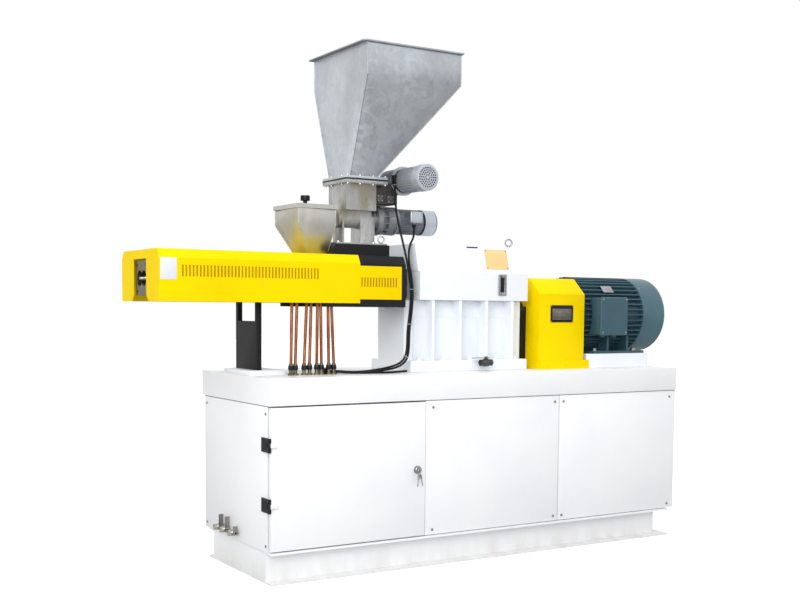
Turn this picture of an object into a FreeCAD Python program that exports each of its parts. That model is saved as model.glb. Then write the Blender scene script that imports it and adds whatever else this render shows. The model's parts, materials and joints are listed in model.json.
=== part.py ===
"""Twin-screw plastic extruder on a cabinet base, with feeder, hoppers, gearbox and motor.

Millimetres. The origin is on the floor under the middle of the base, +X runs from the die end
to the motor, +Y runs to the back and +Z up.
"""
import FreeCAD, Part
import math
import os
import re

import Sketcher

VECTOR = FreeCAD.Vector

SIZES = {
    # welded channel base
    "base_length": 2100,
    "base_depth": 640,
    "plinth_height": 126,
    "channel_width": 53,
    "channel_web": 5.5,
    "channel_flange": 9,
    "plinth_short_right": 34,
    "plinth_short_back": 29,
    "cross_pitch": 640,
    "left_web_inset": 6,
    # cabinet
    "cabinet_height": 557,
    "panel_sheet": 4,
    "floor_sheet": 3,
    "panel_depth": 18,
    "panel_skin": 2.5,
    "panel_seam": 5,
    "back_seam": 1,
    "door_gap": 5,
    "post_width": 40,
    "bay_width": 700,
    # deck
    "deck_gap": 3,
    "deck_height": 105,
    "deck_plate": 20,
    "deck_rim": 60,
    "deck_overhang": 30,
    # door furniture
    "hinge_height": 54,
    "hinge_inset": 182,
    "hinge_inset_top": 144,
    "knuckle_radius": 6,
    "pin_radius": 3,
    "pin_clearance": 0.05,
    "knuckle_gap": 0.5,
    "hinge_out": 2,
    "hinge_front": 4,
    "hinge_leaf": 6,
    "hinge_leaf_length": 55,
    "hinge_arm_length": 30,
    "lock_radius": 14,
    "lock_stand": 12,
    "lock_inset": 41,
    # cooling water valves on the left end
    "valve_back": 123,
    "valve_middle": 60,
    "valve_front": -21,
    "valve_rise": 34,
    "valve_radius": 10.5,
    "valve_length": 42,
    "stem_inset": 24,
    "stem_radius": 5,
    "collar_radius": 8,
    "collar_height": 4,
    "lever_width": 20,
    "lever_sheet": 2.5,
    "lever_reach": 54,
    "short_lever_reach": 27,
    "lever_tail": 10,
    "lever_clearance": 0.3,
    # oil drain valve
    "drain_left": 7,
    "drain_length": 62,
    "drain_rise": 36,
    "drain_reach": 27,
    "drain_radius": 15,
    "drain_pipe_radius": 8,
    "drain_lever_reach": 68,
    # barrel and screws
    "die_reach": 380,
    "barrel_half": 66,
    "barrel_rise": 373,
    "screw_diameter": 58,
    "screw_spacing": 47,
    "screw_clearance": 0.4,
    "bore_clearance": 0.3,
    "die_bolt_half": 50,
    "die_bolt_radius": 5.1,
    "die_bolt_depth": 30,
    "kneading_disc": 14,
    "kneading_discs": 5,
    "kneading_gap": 0.8,
    "tip_length": 30,
    "tip_radius": 5,
    # barrel support
    "support_inset": 47,
    "support_thick": 21,
    "support_half": 102,
    "support_jamb": 19,
    "support_window": 77,
    "support_bridge": 18,
    "support_hold": 26,
    "foot_inset": 7,
    "foot_length": 153,
    "foot_half": 128,
    "foot_plate": 20,
    # barrel cover
    "cover_reach": 8,
    "cover_half": 210,
    "cover_drop": 87,
    "cover_rise": 106,
    "cover_bevel_side": 20,
    "cover_bevel_drop": 34,
    "cover_sheet": 3,
    "notch_half": 72,
    "notch_rise": 72,
    "notch_flare": 24,
    "slot_inset": 88,
    "slot_end": 187,
    "slot_rise": 5,
    "slot_tall": 42,
    "slot_width": 7,
    "slot_count": 41,
    # feed section
    "feed_left": -600,
    "housing_length": 219,
    "housing_half": 204,
    "tongue_length": 156,
    "tongue_sheet": 15,
    "tongue_rail": 26,
    "neck_half": 60,
    "vent_panel_sheet": 4,
    "vent_panel_length": 196,
    "vent_panel_drop": 71,
    "vent_panel_rise": 63,
    "vent_inset": 6,
    "vent_run": 168,
    "vent_drop": 21,
    "vent_tall": 38,
    "vent_count": 13,
    "seat_reach": 90,
    "seat_right": 196,
    "seat_slant": 35,
    "seat_half": 110,
    "seat_height": 48,
    # feeder
    "feeder_plate": 7,
    "feeder_plate_half": 98,
    "feeder_plate_reach": 48,
    "feeder_plate_right": 192,
    "leg_sheet": 8,
    "leg_left": 10,
    "leg_block_left": 95,
    "leg_block_length": 68,
    "leg_half": 42,
    "leg_height": 102,
    "trough_radius": 37,
    "trough_reach": 3,
    "trough_out": 13,
    "box_left": 8,
    "box_length": 142,
    "box_half": 76,
    "box_neck": 33,
    "box_height": 140,
    "flange_sheet": 15,
    "flange_reach": 15,
    "flange_out": 39,
    "flange_half": 103,
    # main hopper
    "hopper_wall": 3,
    "throat_left": 18,
    "throat_length": 128,
    "throat_half": 91,
    "hopper_length": 446,
    "hopper_half": 228,
    "hopper_slope": 383,
    "hopper_band": 133,
    "rim_lip": 10,
    # feeder drive
    "drive_neck": 12,
    "drive_neck_radius": 45,
    "drive_flange": 20,
    "drive_flange_radius": 63,
    "drive_cone": 33,
    "drive_cone_radius": 44,
    "drive_gear": 54,
    "drive_gear_radius": 57,
    "feeder_motor_length": 128,
    "feeder_motor_radius": 50,
    "feeder_cowl_length": 60,
    "feeder_cowl_radius": 54,
    "feeder_box_start": 31,
    "feeder_box_length": 54,
    "feeder_box_height": 43,
    "feeder_box_drop": 6,
    "feeder_box_reach": 90,
    "gland_radius": 7.5,
    "gland_length": 16,
    "gland_reach": 78,
    # agitator drive
    "worm_length": 112,
    "worm_half": 58,
    "worm_height": 75,
    "agitator_out": 143,
    "agitator_rise": 26,
    "agitator_radius": 49,
    "agitator_cowl_radius": 54,
    "agitator_reach": 245,
    "agitator_cowl_length": 46,
    "agitator_gland": 22,
    "agitator_gland_height": 40,
    # side hopper
    "side_reach": 225,
    "side_length": 168,
    "side_half": 107,
    "side_band": 78,
    "side_slope": 120,
    "side_throat_reach": 159,
    "side_throat_length": 87,
    "side_throat_half": 61,
    "side_gap": 2,
    "lid_overhang": 6,
    "lid_sheet": 3,
    "lid_skirt": 14,
    "knob_radius": 18,
    "knob_height": 20,
    "knob_stem_radius": 8,
    "knob_stem": 22,
    # main gearbox
    "case_left": -330,
    "case_length": 613,
    "case_half": 108,
    "case_foot": 47,
    "flange_case_inset": 43,
    "flange_case_half": 165,
    "flange_case_drop": 70,
    "flange_case_rise": 50,
    "top_case_short": 10,
    "top_case_half": 150,
    "top_case_lean": 30,
    "top_case_height": 117,
    "rib_inset": 112,
    "rib_pitch": 139,
    "rib_count": 4,
    "rib_thick": 14,
    # coupling housing and guard
    "bell_length": 54,
    "bell_half": 84,
    "bell_rise": 35,
    "bell_height": 245,
    "bell_bevel_run": 48,
    "bell_bevel_drop": 52,
    "guard_length": 261,
    "guard_half": 180,
    "guard_shoulder": 337,
    "guard_height": 408,
    "guard_top_half": 102,
    "guard_sheet": 3,
    "guard_skirt_out": 18,
    "guard_skirt_height": 39,
    "guard_hole": 70,
    # main motor, frame size 180
    "shaft_height": 180,
    "motor_radius": 176,
    "motor_core_radius": 152,
    "motor_shield_reach": 25,
    "motor_gap": 18,
    "motor_frame_length": 352,
    "motor_cowl_length": 154,
    "motor_cowl_round": 30,
    "motor_fin": 5,
    "motor_fin_count": 44,
    "foot_bolts_across": 279,
    "foot_bolts_along": 241,
    "foot_bolt_start": 202,
    "foot_bolt_radius": 7.25,
    "motor_foot_length": 312,
    "motor_foot_half": 177,
    "motor_foot_inner": 100,
    "motor_foot_plate": 12,
    "gusset": 12,
    "gusset_height": 80,
    "terminal_start": 30,
    "terminal_length": 157,
    "terminal_drop": 91,
    "terminal_height": 169,
    "terminal_reach": 240,
    "fit_gap": 0.3,
    "motor_base_length": 384,
    "motor_base_half": 180,
    "motor_base_height": 65,
    # cooling pipes and their fittings on the deck
    "pipe_radius": 6,
    "pipe_lane": 150,
    "pipe_drop": 52,
    "pipe_bend": 24,
    "fitting_pad_radius": 13,
    "fitting_pad": 6,
    "fitting_radius": 8,
    "fitting_height": 46,
    "nut_radius": 10,
    "nut_height": 20,
    "nut_rise": 20,
    # cables
    "cable_radius": 4.5,
    "gland_box_left": -735,
    "gland_box_length": 40,
    "gland_box_front": -136,
    "gland_box_depth": 40,
    "gland_box_height": 24,
}

doc = FreeCAD.newDocument("Extruder")
sheet = doc.addObject("Spreadsheet::Sheet", "Sizes")
for row, (alias, number) in enumerate(SIZES.items(), start=1):
    sheet.set(f"A{row}", alias)
    sheet.set(f"B{row}", str(number))
    sheet.setAlias(f"B{row}", alias)
doc.recompute()

# Places that several pieces share, worked out from the sizes.
LEFT = "(-base_length/2)"
RIGHT = "(base_length/2)"
FRONT = "(-base_depth/2)"
BACK = "(base_depth/2)"
PLINTH_RIGHT = f"({RIGHT} - plinth_short_right)"
PLINTH_BACK = f"({BACK} - plinth_short_back)"
FLOOR_TOP = "(plinth_height + floor_sheet)"
CABINET_TOP = "(plinth_height + cabinet_height)"
DECK_BOTTOM = f"({CABINET_TOP} + deck_gap)"
DECK_TOP = f"({DECK_BOTTOM} + deck_height)"
POST_FRONT = f"({FRONT} + panel_depth + door_gap)"
SEAM_LEFT = f"({LEFT} + bay_width)"
SEAM_RIGHT = f"({LEFT} + 2*bay_width)"
HINGE_X = f"({LEFT} - hinge_out)"
HINGE_Y = f"({FRONT} - hinge_front)"
BARREL_LEFT = f"({LEFT} - die_reach)"
BARREL_LEVEL = f"({DECK_TOP} + barrel_rise)"
BARREL_BOTTOM = f"({BARREL_LEVEL} - barrel_half)"
FOOT_TOP = f"({DECK_TOP} + foot_plate)"
COVER_LEFT = f"({BARREL_LEFT} - cover_reach)"
COVER_BOTTOM = f"({BARREL_LEVEL} - cover_drop)"
COVER_TOP = f"({BARREL_LEVEL} + cover_rise)"
HOUSING_RIGHT = "(feed_left + housing_length)"
SEAT_TOP = f"({COVER_TOP} + seat_height)"
STAND_TOP = f"({SEAT_TOP} + feeder_plate)"
TROUGH_AXIS = f"({STAND_TOP} + leg_height)"
BOX_LEFT = "(feed_left + box_left)"
BOX_RIGHT = f"({BOX_LEFT} + box_length)"
BOX_TOP = f"({TROUGH_AXIS} + box_height)"
TROUGH_LEFT = "(feed_left - trough_reach)"
TROUGH_RIGHT = f"({BOX_RIGHT} + trough_out)"
THROAT = f"({BOX_TOP} + 2*flange_sheet)"
THROAT_LEFT = "(feed_left + throat_left)"
SHOULDER = f"({THROAT} + hopper_slope)"
HOPPER_RIM = f"({SHOULDER} + hopper_band)"
CASE_RIGHT = "(case_left + case_length)"
CASE_FOOT_TOP = f"({DECK_TOP} + case_foot)"
FLANGE_CASE_LEFT = "(case_left + flange_case_inset)"
FLANGE_CASE_BOTTOM = f"({BARREL_LEVEL} - flange_case_drop)"
FLANGE_CASE_TOP = f"({BARREL_LEVEL} + flange_case_rise)"
GUARD_LEFT = f"({CASE_RIGHT} + bell_length)"
GUARD_RIGHT = f"({GUARD_LEFT} + guard_length)"
MOTOR_FEET = f"({DECK_TOP} + motor_base_height)"
SHAFT_LEVEL = f"({MOTOR_FEET} + shaft_height)"
FRAME_LEFT = f"({GUARD_RIGHT} + motor_gap)"
FRAME_RIGHT = f"({FRAME_LEFT} + motor_frame_length)"

subparts = []


def cell(text):
    """Turn bare size names into references to the sheet."""
    def swap(word):
        name = word.group(0)
        return f"Sizes.{name}" if name in SIZES else name
    return re.sub(r"[a-z_][a-z_0-9]*", swap, str(text))


def value(text):
    return float(sheet.evalExpression(cell(text)))


def keep(name, thing):
    """Give a finished sub-part its own name."""
    thing.Label = name
    subparts.append(thing)
    return thing


def place(thing, corner, turn=None):
    if turn:
        thing.Placement.Rotation = turn
    for axis, text in zip("xyz", corner):
        thing.setExpression(f"Placement.Base.{axis}", cell(text))
    return thing


def block(corner, size):
    thing = doc.addObject("Part::Box", "Block")
    for side, text in zip(("Length", "Width", "Height"), size):
        thing.setExpression(side, cell(text))
    return place(thing, corner)


TURNS = {
    "x": FreeCAD.Rotation(VECTOR(0, 1, 0), 90),
    "y": FreeCAD.Rotation(VECTOR(1, 0, 0), -90),
    "z": FreeCAD.Rotation(),
}


def rod(start, radius, length, along="z"):
    thing = doc.addObject("Part::Cylinder", "Rod")
    thing.setExpression("Radius", cell(radius))
    thing.setExpression("Height", cell(length))
    return place(thing, start, TURNS[along])


def taper(bottom, top, low, high):
    """A block with sloping sides: bottom and top are (left, right, half depth), level to level."""
    thing = doc.addObject("Part::Wedge", "Taper")
    for name, text in (("Xmin", bottom[0]), ("Xmax", bottom[1]), ("X2min", top[0]), ("X2max", top[1]),
                       ("Zmin", f"-{bottom[2]}"), ("Zmax", bottom[2]), ("Z2min", f"-{top[2]}"),
                       ("Z2max", top[2]), ("Ymin", low), ("Ymax", high)):
        thing.setExpression(name, cell(text))
    thing.Placement.Rotation = FreeCAD.Rotation(VECTOR(1, 0, 0), 90)
    return thing


def cut(base, tool):
    thing = doc.addObject("Part::Cut", "Cut")
    thing.Base = base
    thing.Tool = tool
    return thing


def fuse(pieces):
    thing = doc.addObject("Part::MultiFuse", "Joined")
    thing.Shapes = pieces
    return thing


PLANES = {"XY": "XY_Plane", "XZ": "XZ_Plane", "YZ": "YZ_Plane"}


def sketch(body, plane, outline):
    """A closed outline whose every corner is tied to the sheet."""
    drawing = body.newObject("Sketcher::SketchObject", "Outline")
    origin = next(item for item in body.Origin.OriginFeatures if item.Role == PLANES[plane])
    drawing.AttachmentSupport = [(origin, "")]
    drawing.MapMode = "FlatFace"
    corners = [(value(across), value(up)) for across, up in outline]
    count = len(corners)
    for number in range(count):
        begin, end = corners[number], corners[(number + 1) % count]
        drawing.addGeometry(Part.LineSegment(VECTOR(*begin, 0), VECTOR(*end, 0)), False)
    for number in range(count):
        drawing.addConstraint(Sketcher.Constraint("Coincident", number, 2, (number + 1) % count, 1))
    for number, texts in enumerate(outline):
        for kind, text, size in zip(("DistanceX", "DistanceY"), texts, corners[number]):
            row = drawing.addConstraint(Sketcher.Constraint(kind, -1, 1, number, 1, size))
            drawing.setExpression(f"Constraints[{row}]", cell(text))
    return drawing


def prism(plane, outline, start, length):
    """A body padded from its plane by a length, and moved to where it starts."""
    body = doc.addObject("PartDesign::Body", "Body")
    pad = body.newObject("PartDesign::Pad", "Pad")
    pad.Profile = sketch(body, plane, outline)
    pad.setExpression("Length", cell(length))
    pad.Reversed = plane == "XZ"
    axis = {"XY": "z", "XZ": "y", "YZ": "x"}[plane]
    body.setExpression(f"Placement.Base.{axis}", cell(start))
    return body


def pocket(body, plane, outline):
    """Cut an outline right through the body, both ways from its plane."""
    opening = body.newObject("PartDesign::Pocket", "Pocket")
    opening.Profile = sketch(body, plane, outline)
    opening.Type = "ThroughAll"
    opening.Midplane = True


def origin_axis(body, role):
    return (next(item for item in body.Origin.OriginFeatures if item.Role == role), [""])


def rectangle(left, right, low, high):
    return [(left, low), (right, low), (right, high), (left, high)]


# --- channel base -------------------------------------------------------------------------------

def channel_outline(tip, way):
    """Channel section seen end on; its flanges run from their tips to the web, which way says."""
    web = f"({tip} + {way}*channel_width)"
    inside = f"({web} - {way}*channel_web)"
    low, high = "channel_flange", "(plinth_height - channel_flange)"
    return [(tip, "0"), (web, "0"), (web, "plinth_height"), (tip, "plinth_height"),
            (tip, high), (inside, high), (inside, low), (tip, low)]


def base_frame():
    """Channels at the front, right and back with their flanges outwards, mitred at the right corners.

    The left end and the three cross members stand between the long channels, the left one with its
    web outwards.
    """
    left_web = f"({LEFT} + left_web_inset)"
    right_web = f"({PLINTH_RIGHT} - channel_width)"
    front_web = f"({FRONT} + channel_width)"
    back_web = f"({PLINTH_BACK} - channel_width)"
    corners = {"front left": (left_web, FRONT), "front right": (PLINTH_RIGHT, FRONT),
               "back left": (left_web, PLINTH_BACK), "back right": (PLINTH_RIGHT, PLINTH_BACK),
               "inner front left": (left_web, front_web), "inner front right": (right_web, front_web),
               "inner back left": (left_web, back_web), "inner back right": (right_web, back_web)}
    sides = (("front left", "front right", "YZ", FRONT, 1),
             ("back right", "back left", "YZ", PLINTH_BACK, -1),
             ("front right", "back right", "XZ", PLINTH_RIGHT, -1))
    members = []
    for begin, end, plane, tip, way in sides:
        if plane == "YZ":
            bar = prism(plane, channel_outline(tip, way), LEFT, f"{PLINTH_RIGHT} - {LEFT}")
        else:
            bar = prism(plane, channel_outline(tip, way), FRONT, f"{PLINTH_BACK} - {FRONT}")
        mitred = doc.addObject("Part::Common", "Mitred")
        mitred.Base = bar
        mitred.Tool = prism("XY", [corners[name] for name in (begin, end, f"inner {end}", f"inner {begin}")],
                            "0", "plinth_height")
        members.append(mitred)
    members.append(prism("XZ", channel_outline(f"({left_web} + channel_width)", -1), front_web,
                         f"{back_web} - {front_web}"))
    for number in (-1, 0, 1):
        tip = f"({number}*cross_pitch - channel_width/2)"
        members.append(prism("XZ", channel_outline(tip, 1), front_web, f"{back_web} - {front_web}"))
    keep("base_frame", fuse(members))


# --- cabinet ------------------------------------------------------------------------------------

def pan(corner, width, height):
    """A sheet panel folded back at its four edges, open at the back."""
    left, front, bottom = corner
    outer = block(corner, (width, "panel_depth", height))
    inner = block((f"{left} + panel_skin", f"{front} + panel_skin", f"{bottom} + panel_skin"),
                  (f"{width} - 2*panel_skin", "panel_depth", f"{height} - 2*panel_skin"))
    return cut(outer, inner)


def cabinet():
    inside_left = f"({LEFT} + panel_sheet)"
    inside_right = f"({RIGHT} - panel_sheet)"
    inside_back = f"({BACK} - panel_sheet)"
    width = f"({inside_right} - {inside_left})"
    floor = block((inside_left, POST_FRONT, "plinth_height"),
                  (width, f"{inside_back} - {POST_FRONT}", "floor_sheet"))
    pieces = [floor]
    for left in (inside_left, f"({SEAM_LEFT} - post_width/2)", f"({SEAM_RIGHT} - post_width/2)",
                 f"({inside_right} - post_width)"):
        for front in (POST_FRONT, f"({inside_back} - post_width)"):
            pieces.append(block((left, front, FLOOR_TOP),
                                ("post_width", "post_width", f"{DECK_BOTTOM} - {FLOOR_TOP}")))
    keep("cabinet_frame", fuse(pieces))
    end_size = ("panel_sheet", f"{BACK} - {POST_FRONT}", "cabinet_height")
    keep("cabinet_panels", fuse([
        block((LEFT, POST_FRONT, "plinth_height"), end_size),
        block((inside_right, POST_FRONT, "plinth_height"), end_size),
        block((f"{inside_left} + back_seam", inside_back, "plinth_height"),
              (f"{width} - 2*back_seam", "panel_sheet", "cabinet_height")),
    ]))
    height = f"({CABINET_TOP} - {FLOOR_TOP})"
    middle_left = f"({SEAM_LEFT} + panel_seam/2)"
    right_left = f"({SEAM_RIGHT} + panel_seam/2)"
    front = f"({POST_FRONT} - panel_depth)"
    keep("front_panels", fuse([
        pan((middle_left, front, FLOOR_TOP), "(bay_width - panel_seam)", height),
        pan((right_left, front, FLOOR_TOP), f"({RIGHT} - {right_left})", height),
    ]))


def front_door():
    left = f"({LEFT} + door_gap)"
    bottom = "(plinth_height + door_gap)"
    keep("front_door", pan((left, FRONT, bottom), f"({SEAM_LEFT} - panel_seam/2 - {left})",
                           f"({CABINET_TOP} - deck_gap - {bottom})"))


def door_hinges():
    """Each hinge has its leaf, two outer knuckles and the pin on the cabinet, and its middle
    knuckle on an arm across the front of the door."""
    third = "(hinge_height/3)"
    leaf_start = "(knuckle_radius + 2*pin_radius)"
    leaf_left = f"({LEFT} - hinge_leaf)"
    lock = rod((f"({SEAM_LEFT} - lock_inset)", f"{FRONT} - lock_stand", "plinth_height + cabinet_height/2"),
               "lock_radius", "lock_stand", "y")
    fixed, moving = [], [lock]
    for level in ("(plinth_height + hinge_inset)", f"({CABINET_TOP} - hinge_inset_top)"):
        bottom = f"({level} - hinge_height/2)"
        pieces = [block((leaf_left, f"{HINGE_Y} + {leaf_start}", bottom),
                        ("hinge_leaf", "hinge_leaf_length", "hinge_height")),
                  rod((HINGE_X, HINGE_Y, bottom), "pin_radius", "hinge_height")]
        for low in (bottom, f"({bottom} + 2*{third})"):
            pieces.append(rod((HINGE_X, HINGE_Y, low), "knuckle_radius", third))
            pieces.append(block((leaf_left, HINGE_Y, low), ("hinge_leaf", leaf_start, third)))
        fixed.append(fuse(pieces))
        low = f"({bottom} + {third} + knuckle_gap)"
        tall = f"({third} - 2*knuckle_gap)"
        arm = fuse([rod((HINGE_X, HINGE_Y, low), "knuckle_radius", tall),
                    block((HINGE_X, f"{HINGE_Y} - knuckle_radius", low),
                          ("hinge_arm_length", "knuckle_radius + hinge_front", tall))])
        moving.append(cut(arm, rod((HINGE_X, HINGE_Y, low), "pin_radius + pin_clearance", tall)))
    keep("door_hinges", fuse(fixed))
    keep("door_fittings", fuse(moving))


def deck():
    outer = block((LEFT, FRONT, DECK_BOTTOM), ("base_length", "base_depth + deck_overhang", "deck_height"))
    inner = block((f"{LEFT} + deck_rim", f"{FRONT} + deck_rim", DECK_BOTTOM),
                  ("base_length - 2*deck_rim", "base_depth + deck_overhang - 2*deck_rim",
                   "deck_height - deck_plate"))
    keep("deck", cut(outer, inner))


# --- ball valves --------------------------------------------------------------------------------

LEVER_BACK = "(valve_radius + collar_height + lever_clearance)"
LEVER_FRONT = f"({LEVER_BACK} + lever_sheet)"
STEM_TIP = f"({LEVER_FRONT} + lever_clearance + collar_height)"


def water_valve(name, axis_y, reach):
    """A ball valve on the left end. Its stem points to the front and its lever stands up."""
    stem_x = f"({LEFT} - valve_length + stem_inset)"
    level = "(plinth_height + valve_rise)"
    lever = cut(block((f"{stem_x} - lever_width/2", f"{axis_y} - {LEVER_FRONT}", f"{level} - lever_tail"),
                      ("lever_width", "lever_sheet", f"{reach} + lever_tail")),
                rod((stem_x, f"{axis_y} - {LEVER_FRONT}", level), "stem_radius + lever_clearance",
                    "lever_sheet", "y"))
    keep(f"water_valve_lever_{name}", lever)
    return fuse([
        rod((f"{LEFT} - valve_length", axis_y, level), "valve_radius", "valve_length", "x"),
        rod((stem_x, f"{axis_y} - valve_radius - collar_height", level), "collar_radius",
            "collar_height + valve_radius", "y"),
        rod((stem_x, f"{axis_y} - {STEM_TIP}", level), "stem_radius", STEM_TIP, "y"),
        rod((stem_x, f"{axis_y} - {STEM_TIP}", level), "collar_radius", "collar_height", "y"),
    ])


def drain_valve():
    """The gearbox's oil drain. Its stem points up and its lever lies along it, to the left."""
    stem_x = "(drain_left + drain_length/2)"
    axis_y = "(-flange_case_half - drain_reach)"
    level = f"({DECK_TOP} + drain_rise)"
    collar_top = f"({level} + drain_radius + collar_height)"
    lever_bottom = f"({collar_top} + lever_clearance)"
    nut_bottom = f"({lever_bottom} + lever_sheet + lever_clearance)"
    lever = cut(block((f"{stem_x} - drain_lever_reach", f"{axis_y} - lever_width/2", lever_bottom),
                      ("drain_lever_reach + lever_tail", "lever_width", "lever_sheet")),
                rod((stem_x, axis_y, lever_bottom), "stem_radius + lever_clearance", "lever_sheet"))
    keep("oil_drain_lever", lever)
    pipe_x = "(drain_left + drain_length - 2*drain_pipe_radius)"
    return fuse([
        rod(("drain_left", axis_y, level), "drain_radius", "drain_length", "x"),
        rod((pipe_x, axis_y, level), "drain_pipe_radius", "drain_reach", "y"),
        rod((stem_x, axis_y, level), "collar_radius", "drain_radius + collar_height"),
        rod((stem_x, axis_y, level), "stem_radius", f"{nut_bottom} + collar_height - {level}"),
        rod((stem_x, axis_y, nut_bottom), "collar_radius", "collar_height"),
    ])


def ball_valves():
    keep("ball_valves", fuse([
        water_valve("back", "valve_back", "lever_reach"),
        water_valve("middle", "valve_middle", "lever_reach"),
        water_valve("front", "valve_front", "short_lever_reach"),
        drain_valve(),
    ]))


# --- barrel, screws and cover -------------------------------------------------------------------

def barrel_support():
    left = f"({LEFT} + support_inset)"
    window_top = f"({BARREL_BOTTOM} - support_bridge)"
    top = f"({BARREL_LEVEL} + support_hold)"
    upright = prism("YZ", rectangle("-support_half", "support_half", FOOT_TOP, top),
                    left, "support_thick")
    pocket(upright, "YZ", rectangle("-support_half + support_jamb", "support_half - support_jamb",
                                    f"{window_top} - support_window", window_top))
    pocket(upright, "YZ", rectangle("-barrel_half", "barrel_half", BARREL_BOTTOM, f"{top} + support_hold"))
    keep("barrel_support", upright)
    keep("barrel_support_foot", block((f"{LEFT} + foot_inset", "-foot_half", DECK_TOP),
                                      ("foot_length", "2*foot_half", "foot_plate")))


def bores(left, length):
    """The two screw bores, which run into each other."""
    return [rod((left, f"{side}*screw_spacing/2", BARREL_LEVEL), "screw_diameter/2 + bore_clearance",
                length, "x") for side in (-1, 1)]


def barrel():
    length = f"(feed_left - {BARREL_LEFT})"
    body = block((BARREL_LEFT, "-barrel_half", BARREL_BOTTOM), (length, "2*barrel_half", "2*barrel_half"))
    holes = bores(BARREL_LEFT, length)
    for across in (-1, 1):
        for up in (-1, 1):
            holes.append(rod((BARREL_LEFT, f"{across}*die_bolt_half", f"{BARREL_LEVEL} + {up}*die_bolt_half"),
                             "die_bolt_radius", "die_bolt_depth", "x"))
    keep("barrel", cut(body, fuse(holes)))


def flank_arc(tip_corner, root_corner, radius):
    """The arc from a tip's corner to a root's corner that bulges away from the screw's axis."""
    middle = (tip_corner + root_corner) * 0.5
    chord = root_corner - tip_corner
    side = VECTOR(1, 0, 0).cross(chord).normalize()
    if side.dot(middle) > 0:
        side = side.negative()
    centre = middle + side * math.sqrt(radius ** 2 - (chord.Length / 2) ** 2)
    return Part.Arc(tip_corner, centre - side * radius, root_corner).toShape()


def kneading_outline():
    """A two-lobed disc that wipes its twin turned a quarter turn, less the running clearance.

    The tips are arcs of the screw's radius, the roots arcs of what the spacing leaves, and each
    flank is an arc whose radius is the spacing.
    """
    tip = value("screw_diameter") / 2
    spacing = value("screw_spacing")
    half = math.pi / 4 - math.acos(spacing / (2 * tip))

    def spot(radius, angle):
        return VECTOR(0, radius * math.cos(angle), radius * math.sin(angle))

    edges = []
    for middle, radius in ((0, tip), (math.pi / 2, spacing - tip), (math.pi, tip),
                           (3 * math.pi / 2, spacing - tip)):
        ends = [spot(radius, middle + way * half) for way in (-1, 1)]
        edges.append(Part.Arc(ends[0], spot(radius, middle), ends[1]).toShape())
    for middle in (0, math.pi):
        for way in (-1, 1):
            edges.append(flank_arc(spot(tip, middle + way * half),
                                   spot(spacing - tip, middle + way * (math.pi / 2 - half)), spacing))
    outline = Part.Wire(Part.sortEdges(edges)[0])
    return outline.makeOffset2D(-value("screw_clearance"))


def screws():
    """A shaft with kneading discs at the die end and a pointed tip.

    The shaft is a clearance below the discs' roots, and the discs are a gap shorter than their pitch.
    """
    pitch = value("kneading_disc")
    gap = value("kneading_gap")
    tip_length = value("tip_length")
    left = value(BARREL_LEFT) + tip_length
    root = value("screw_spacing") - value("screw_diameter") / 2 - 2 * value("screw_clearance")
    along = VECTOR(1, 0, 0)
    face = Part.Face(kneading_outline())
    for name, side, first_angle in (("screw_front", -1, 0), ("screw_back", 1, 90)):
        pieces = [Part.makeCylinder(root, value(FLANGE_CASE_LEFT) - value("fit_gap") - left,
                                    VECTOR(left, 0, 0), along),
                  Part.makeCone(value("tip_radius"), root, tip_length,
                                VECTOR(left - tip_length, 0, 0), along)]
        for number in range(int(value("kneading_discs"))):
            lobe = face.extrude(along * (pitch - gap))
            lobe.rotate(VECTOR(), along, first_angle + 45 * number)
            lobe.translate(VECTOR(left + number * pitch + gap / 2, 0, 0))
            pieces.append(lobe)
        screw = doc.addObject("Part::Feature", "Screw")
        screw.Shape = pieces[0].multiFuse(pieces[1:]).removeSplitter()
        screw.Placement.Base = VECTOR(0, side * value("screw_spacing") / 2, value(BARREL_LEVEL))
        keep(name, screw)


def cover_outline(half, trim, bottom):
    """The section of the cover and the feed housing, with every side moved in by the trim."""
    side = f"({half} - {trim})"
    top_side = f"({half} - cover_bevel_side - {trim}/2)"
    top = f"({COVER_TOP} - {trim})"
    shoulder = f"({COVER_TOP} - cover_bevel_drop - {trim}/2)"
    return [(f"-{side}", bottom), (side, bottom), (side, shoulder), (top_side, top),
            (f"-{top_side}", top), (f"-{side}", shoulder)]


def slot_row(start, run, low, tall, count, front, depth):
    """A row of upright slots: one bar, repeated along the row."""
    body = prism("XZ", rectangle(start, f"({start} + slot_width)", low, f"({low} + {tall})"), front, depth)
    row = body.newObject("PartDesign::LinearPattern", "Row")
    row.Originals = [body.Tip]
    row.Direction = origin_axis(body, "X_Axis")
    row.setExpression("Length", cell(f"{run} - slot_width"))
    row.setExpression("Occurrences", cell(count))
    body.Tip = row
    return body


def barrel_cover():
    length = f"(feed_left - {COVER_LEFT})"
    below = f"({COVER_BOTTOM} - cover_sheet)"
    shell = cut(prism("YZ", cover_outline("cover_half", "0", COVER_BOTTOM), COVER_LEFT, length),
                prism("YZ", cover_outline("cover_half", "cover_sheet", below),
                      f"{COVER_LEFT} + cover_sheet", length))
    flare = "(notch_half + notch_flare)"
    flare_top = f"({COVER_BOTTOM} + notch_flare)"
    notch_top = f"({BARREL_LEVEL} + notch_rise)"
    notch = prism("YZ", [(f"-{flare}", below), (flare, below), ("notch_half", flare_top),
                         ("notch_half", notch_top), ("-notch_half", notch_top),
                         ("-notch_half", flare_top)], COVER_LEFT, "cover_sheet")
    start = f"({COVER_LEFT} + slot_inset)"
    slots = slot_row(start, f"(feed_left - slot_end - {start})", f"({BARREL_LEVEL} + slot_rise)",
                     "slot_tall", "slot_count", "-cover_half", "cover_sheet")
    keep("barrel_cover", cut(cut(shell, notch), slots))


# --- feed section and feeder --------------------------------------------------------------------

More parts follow.
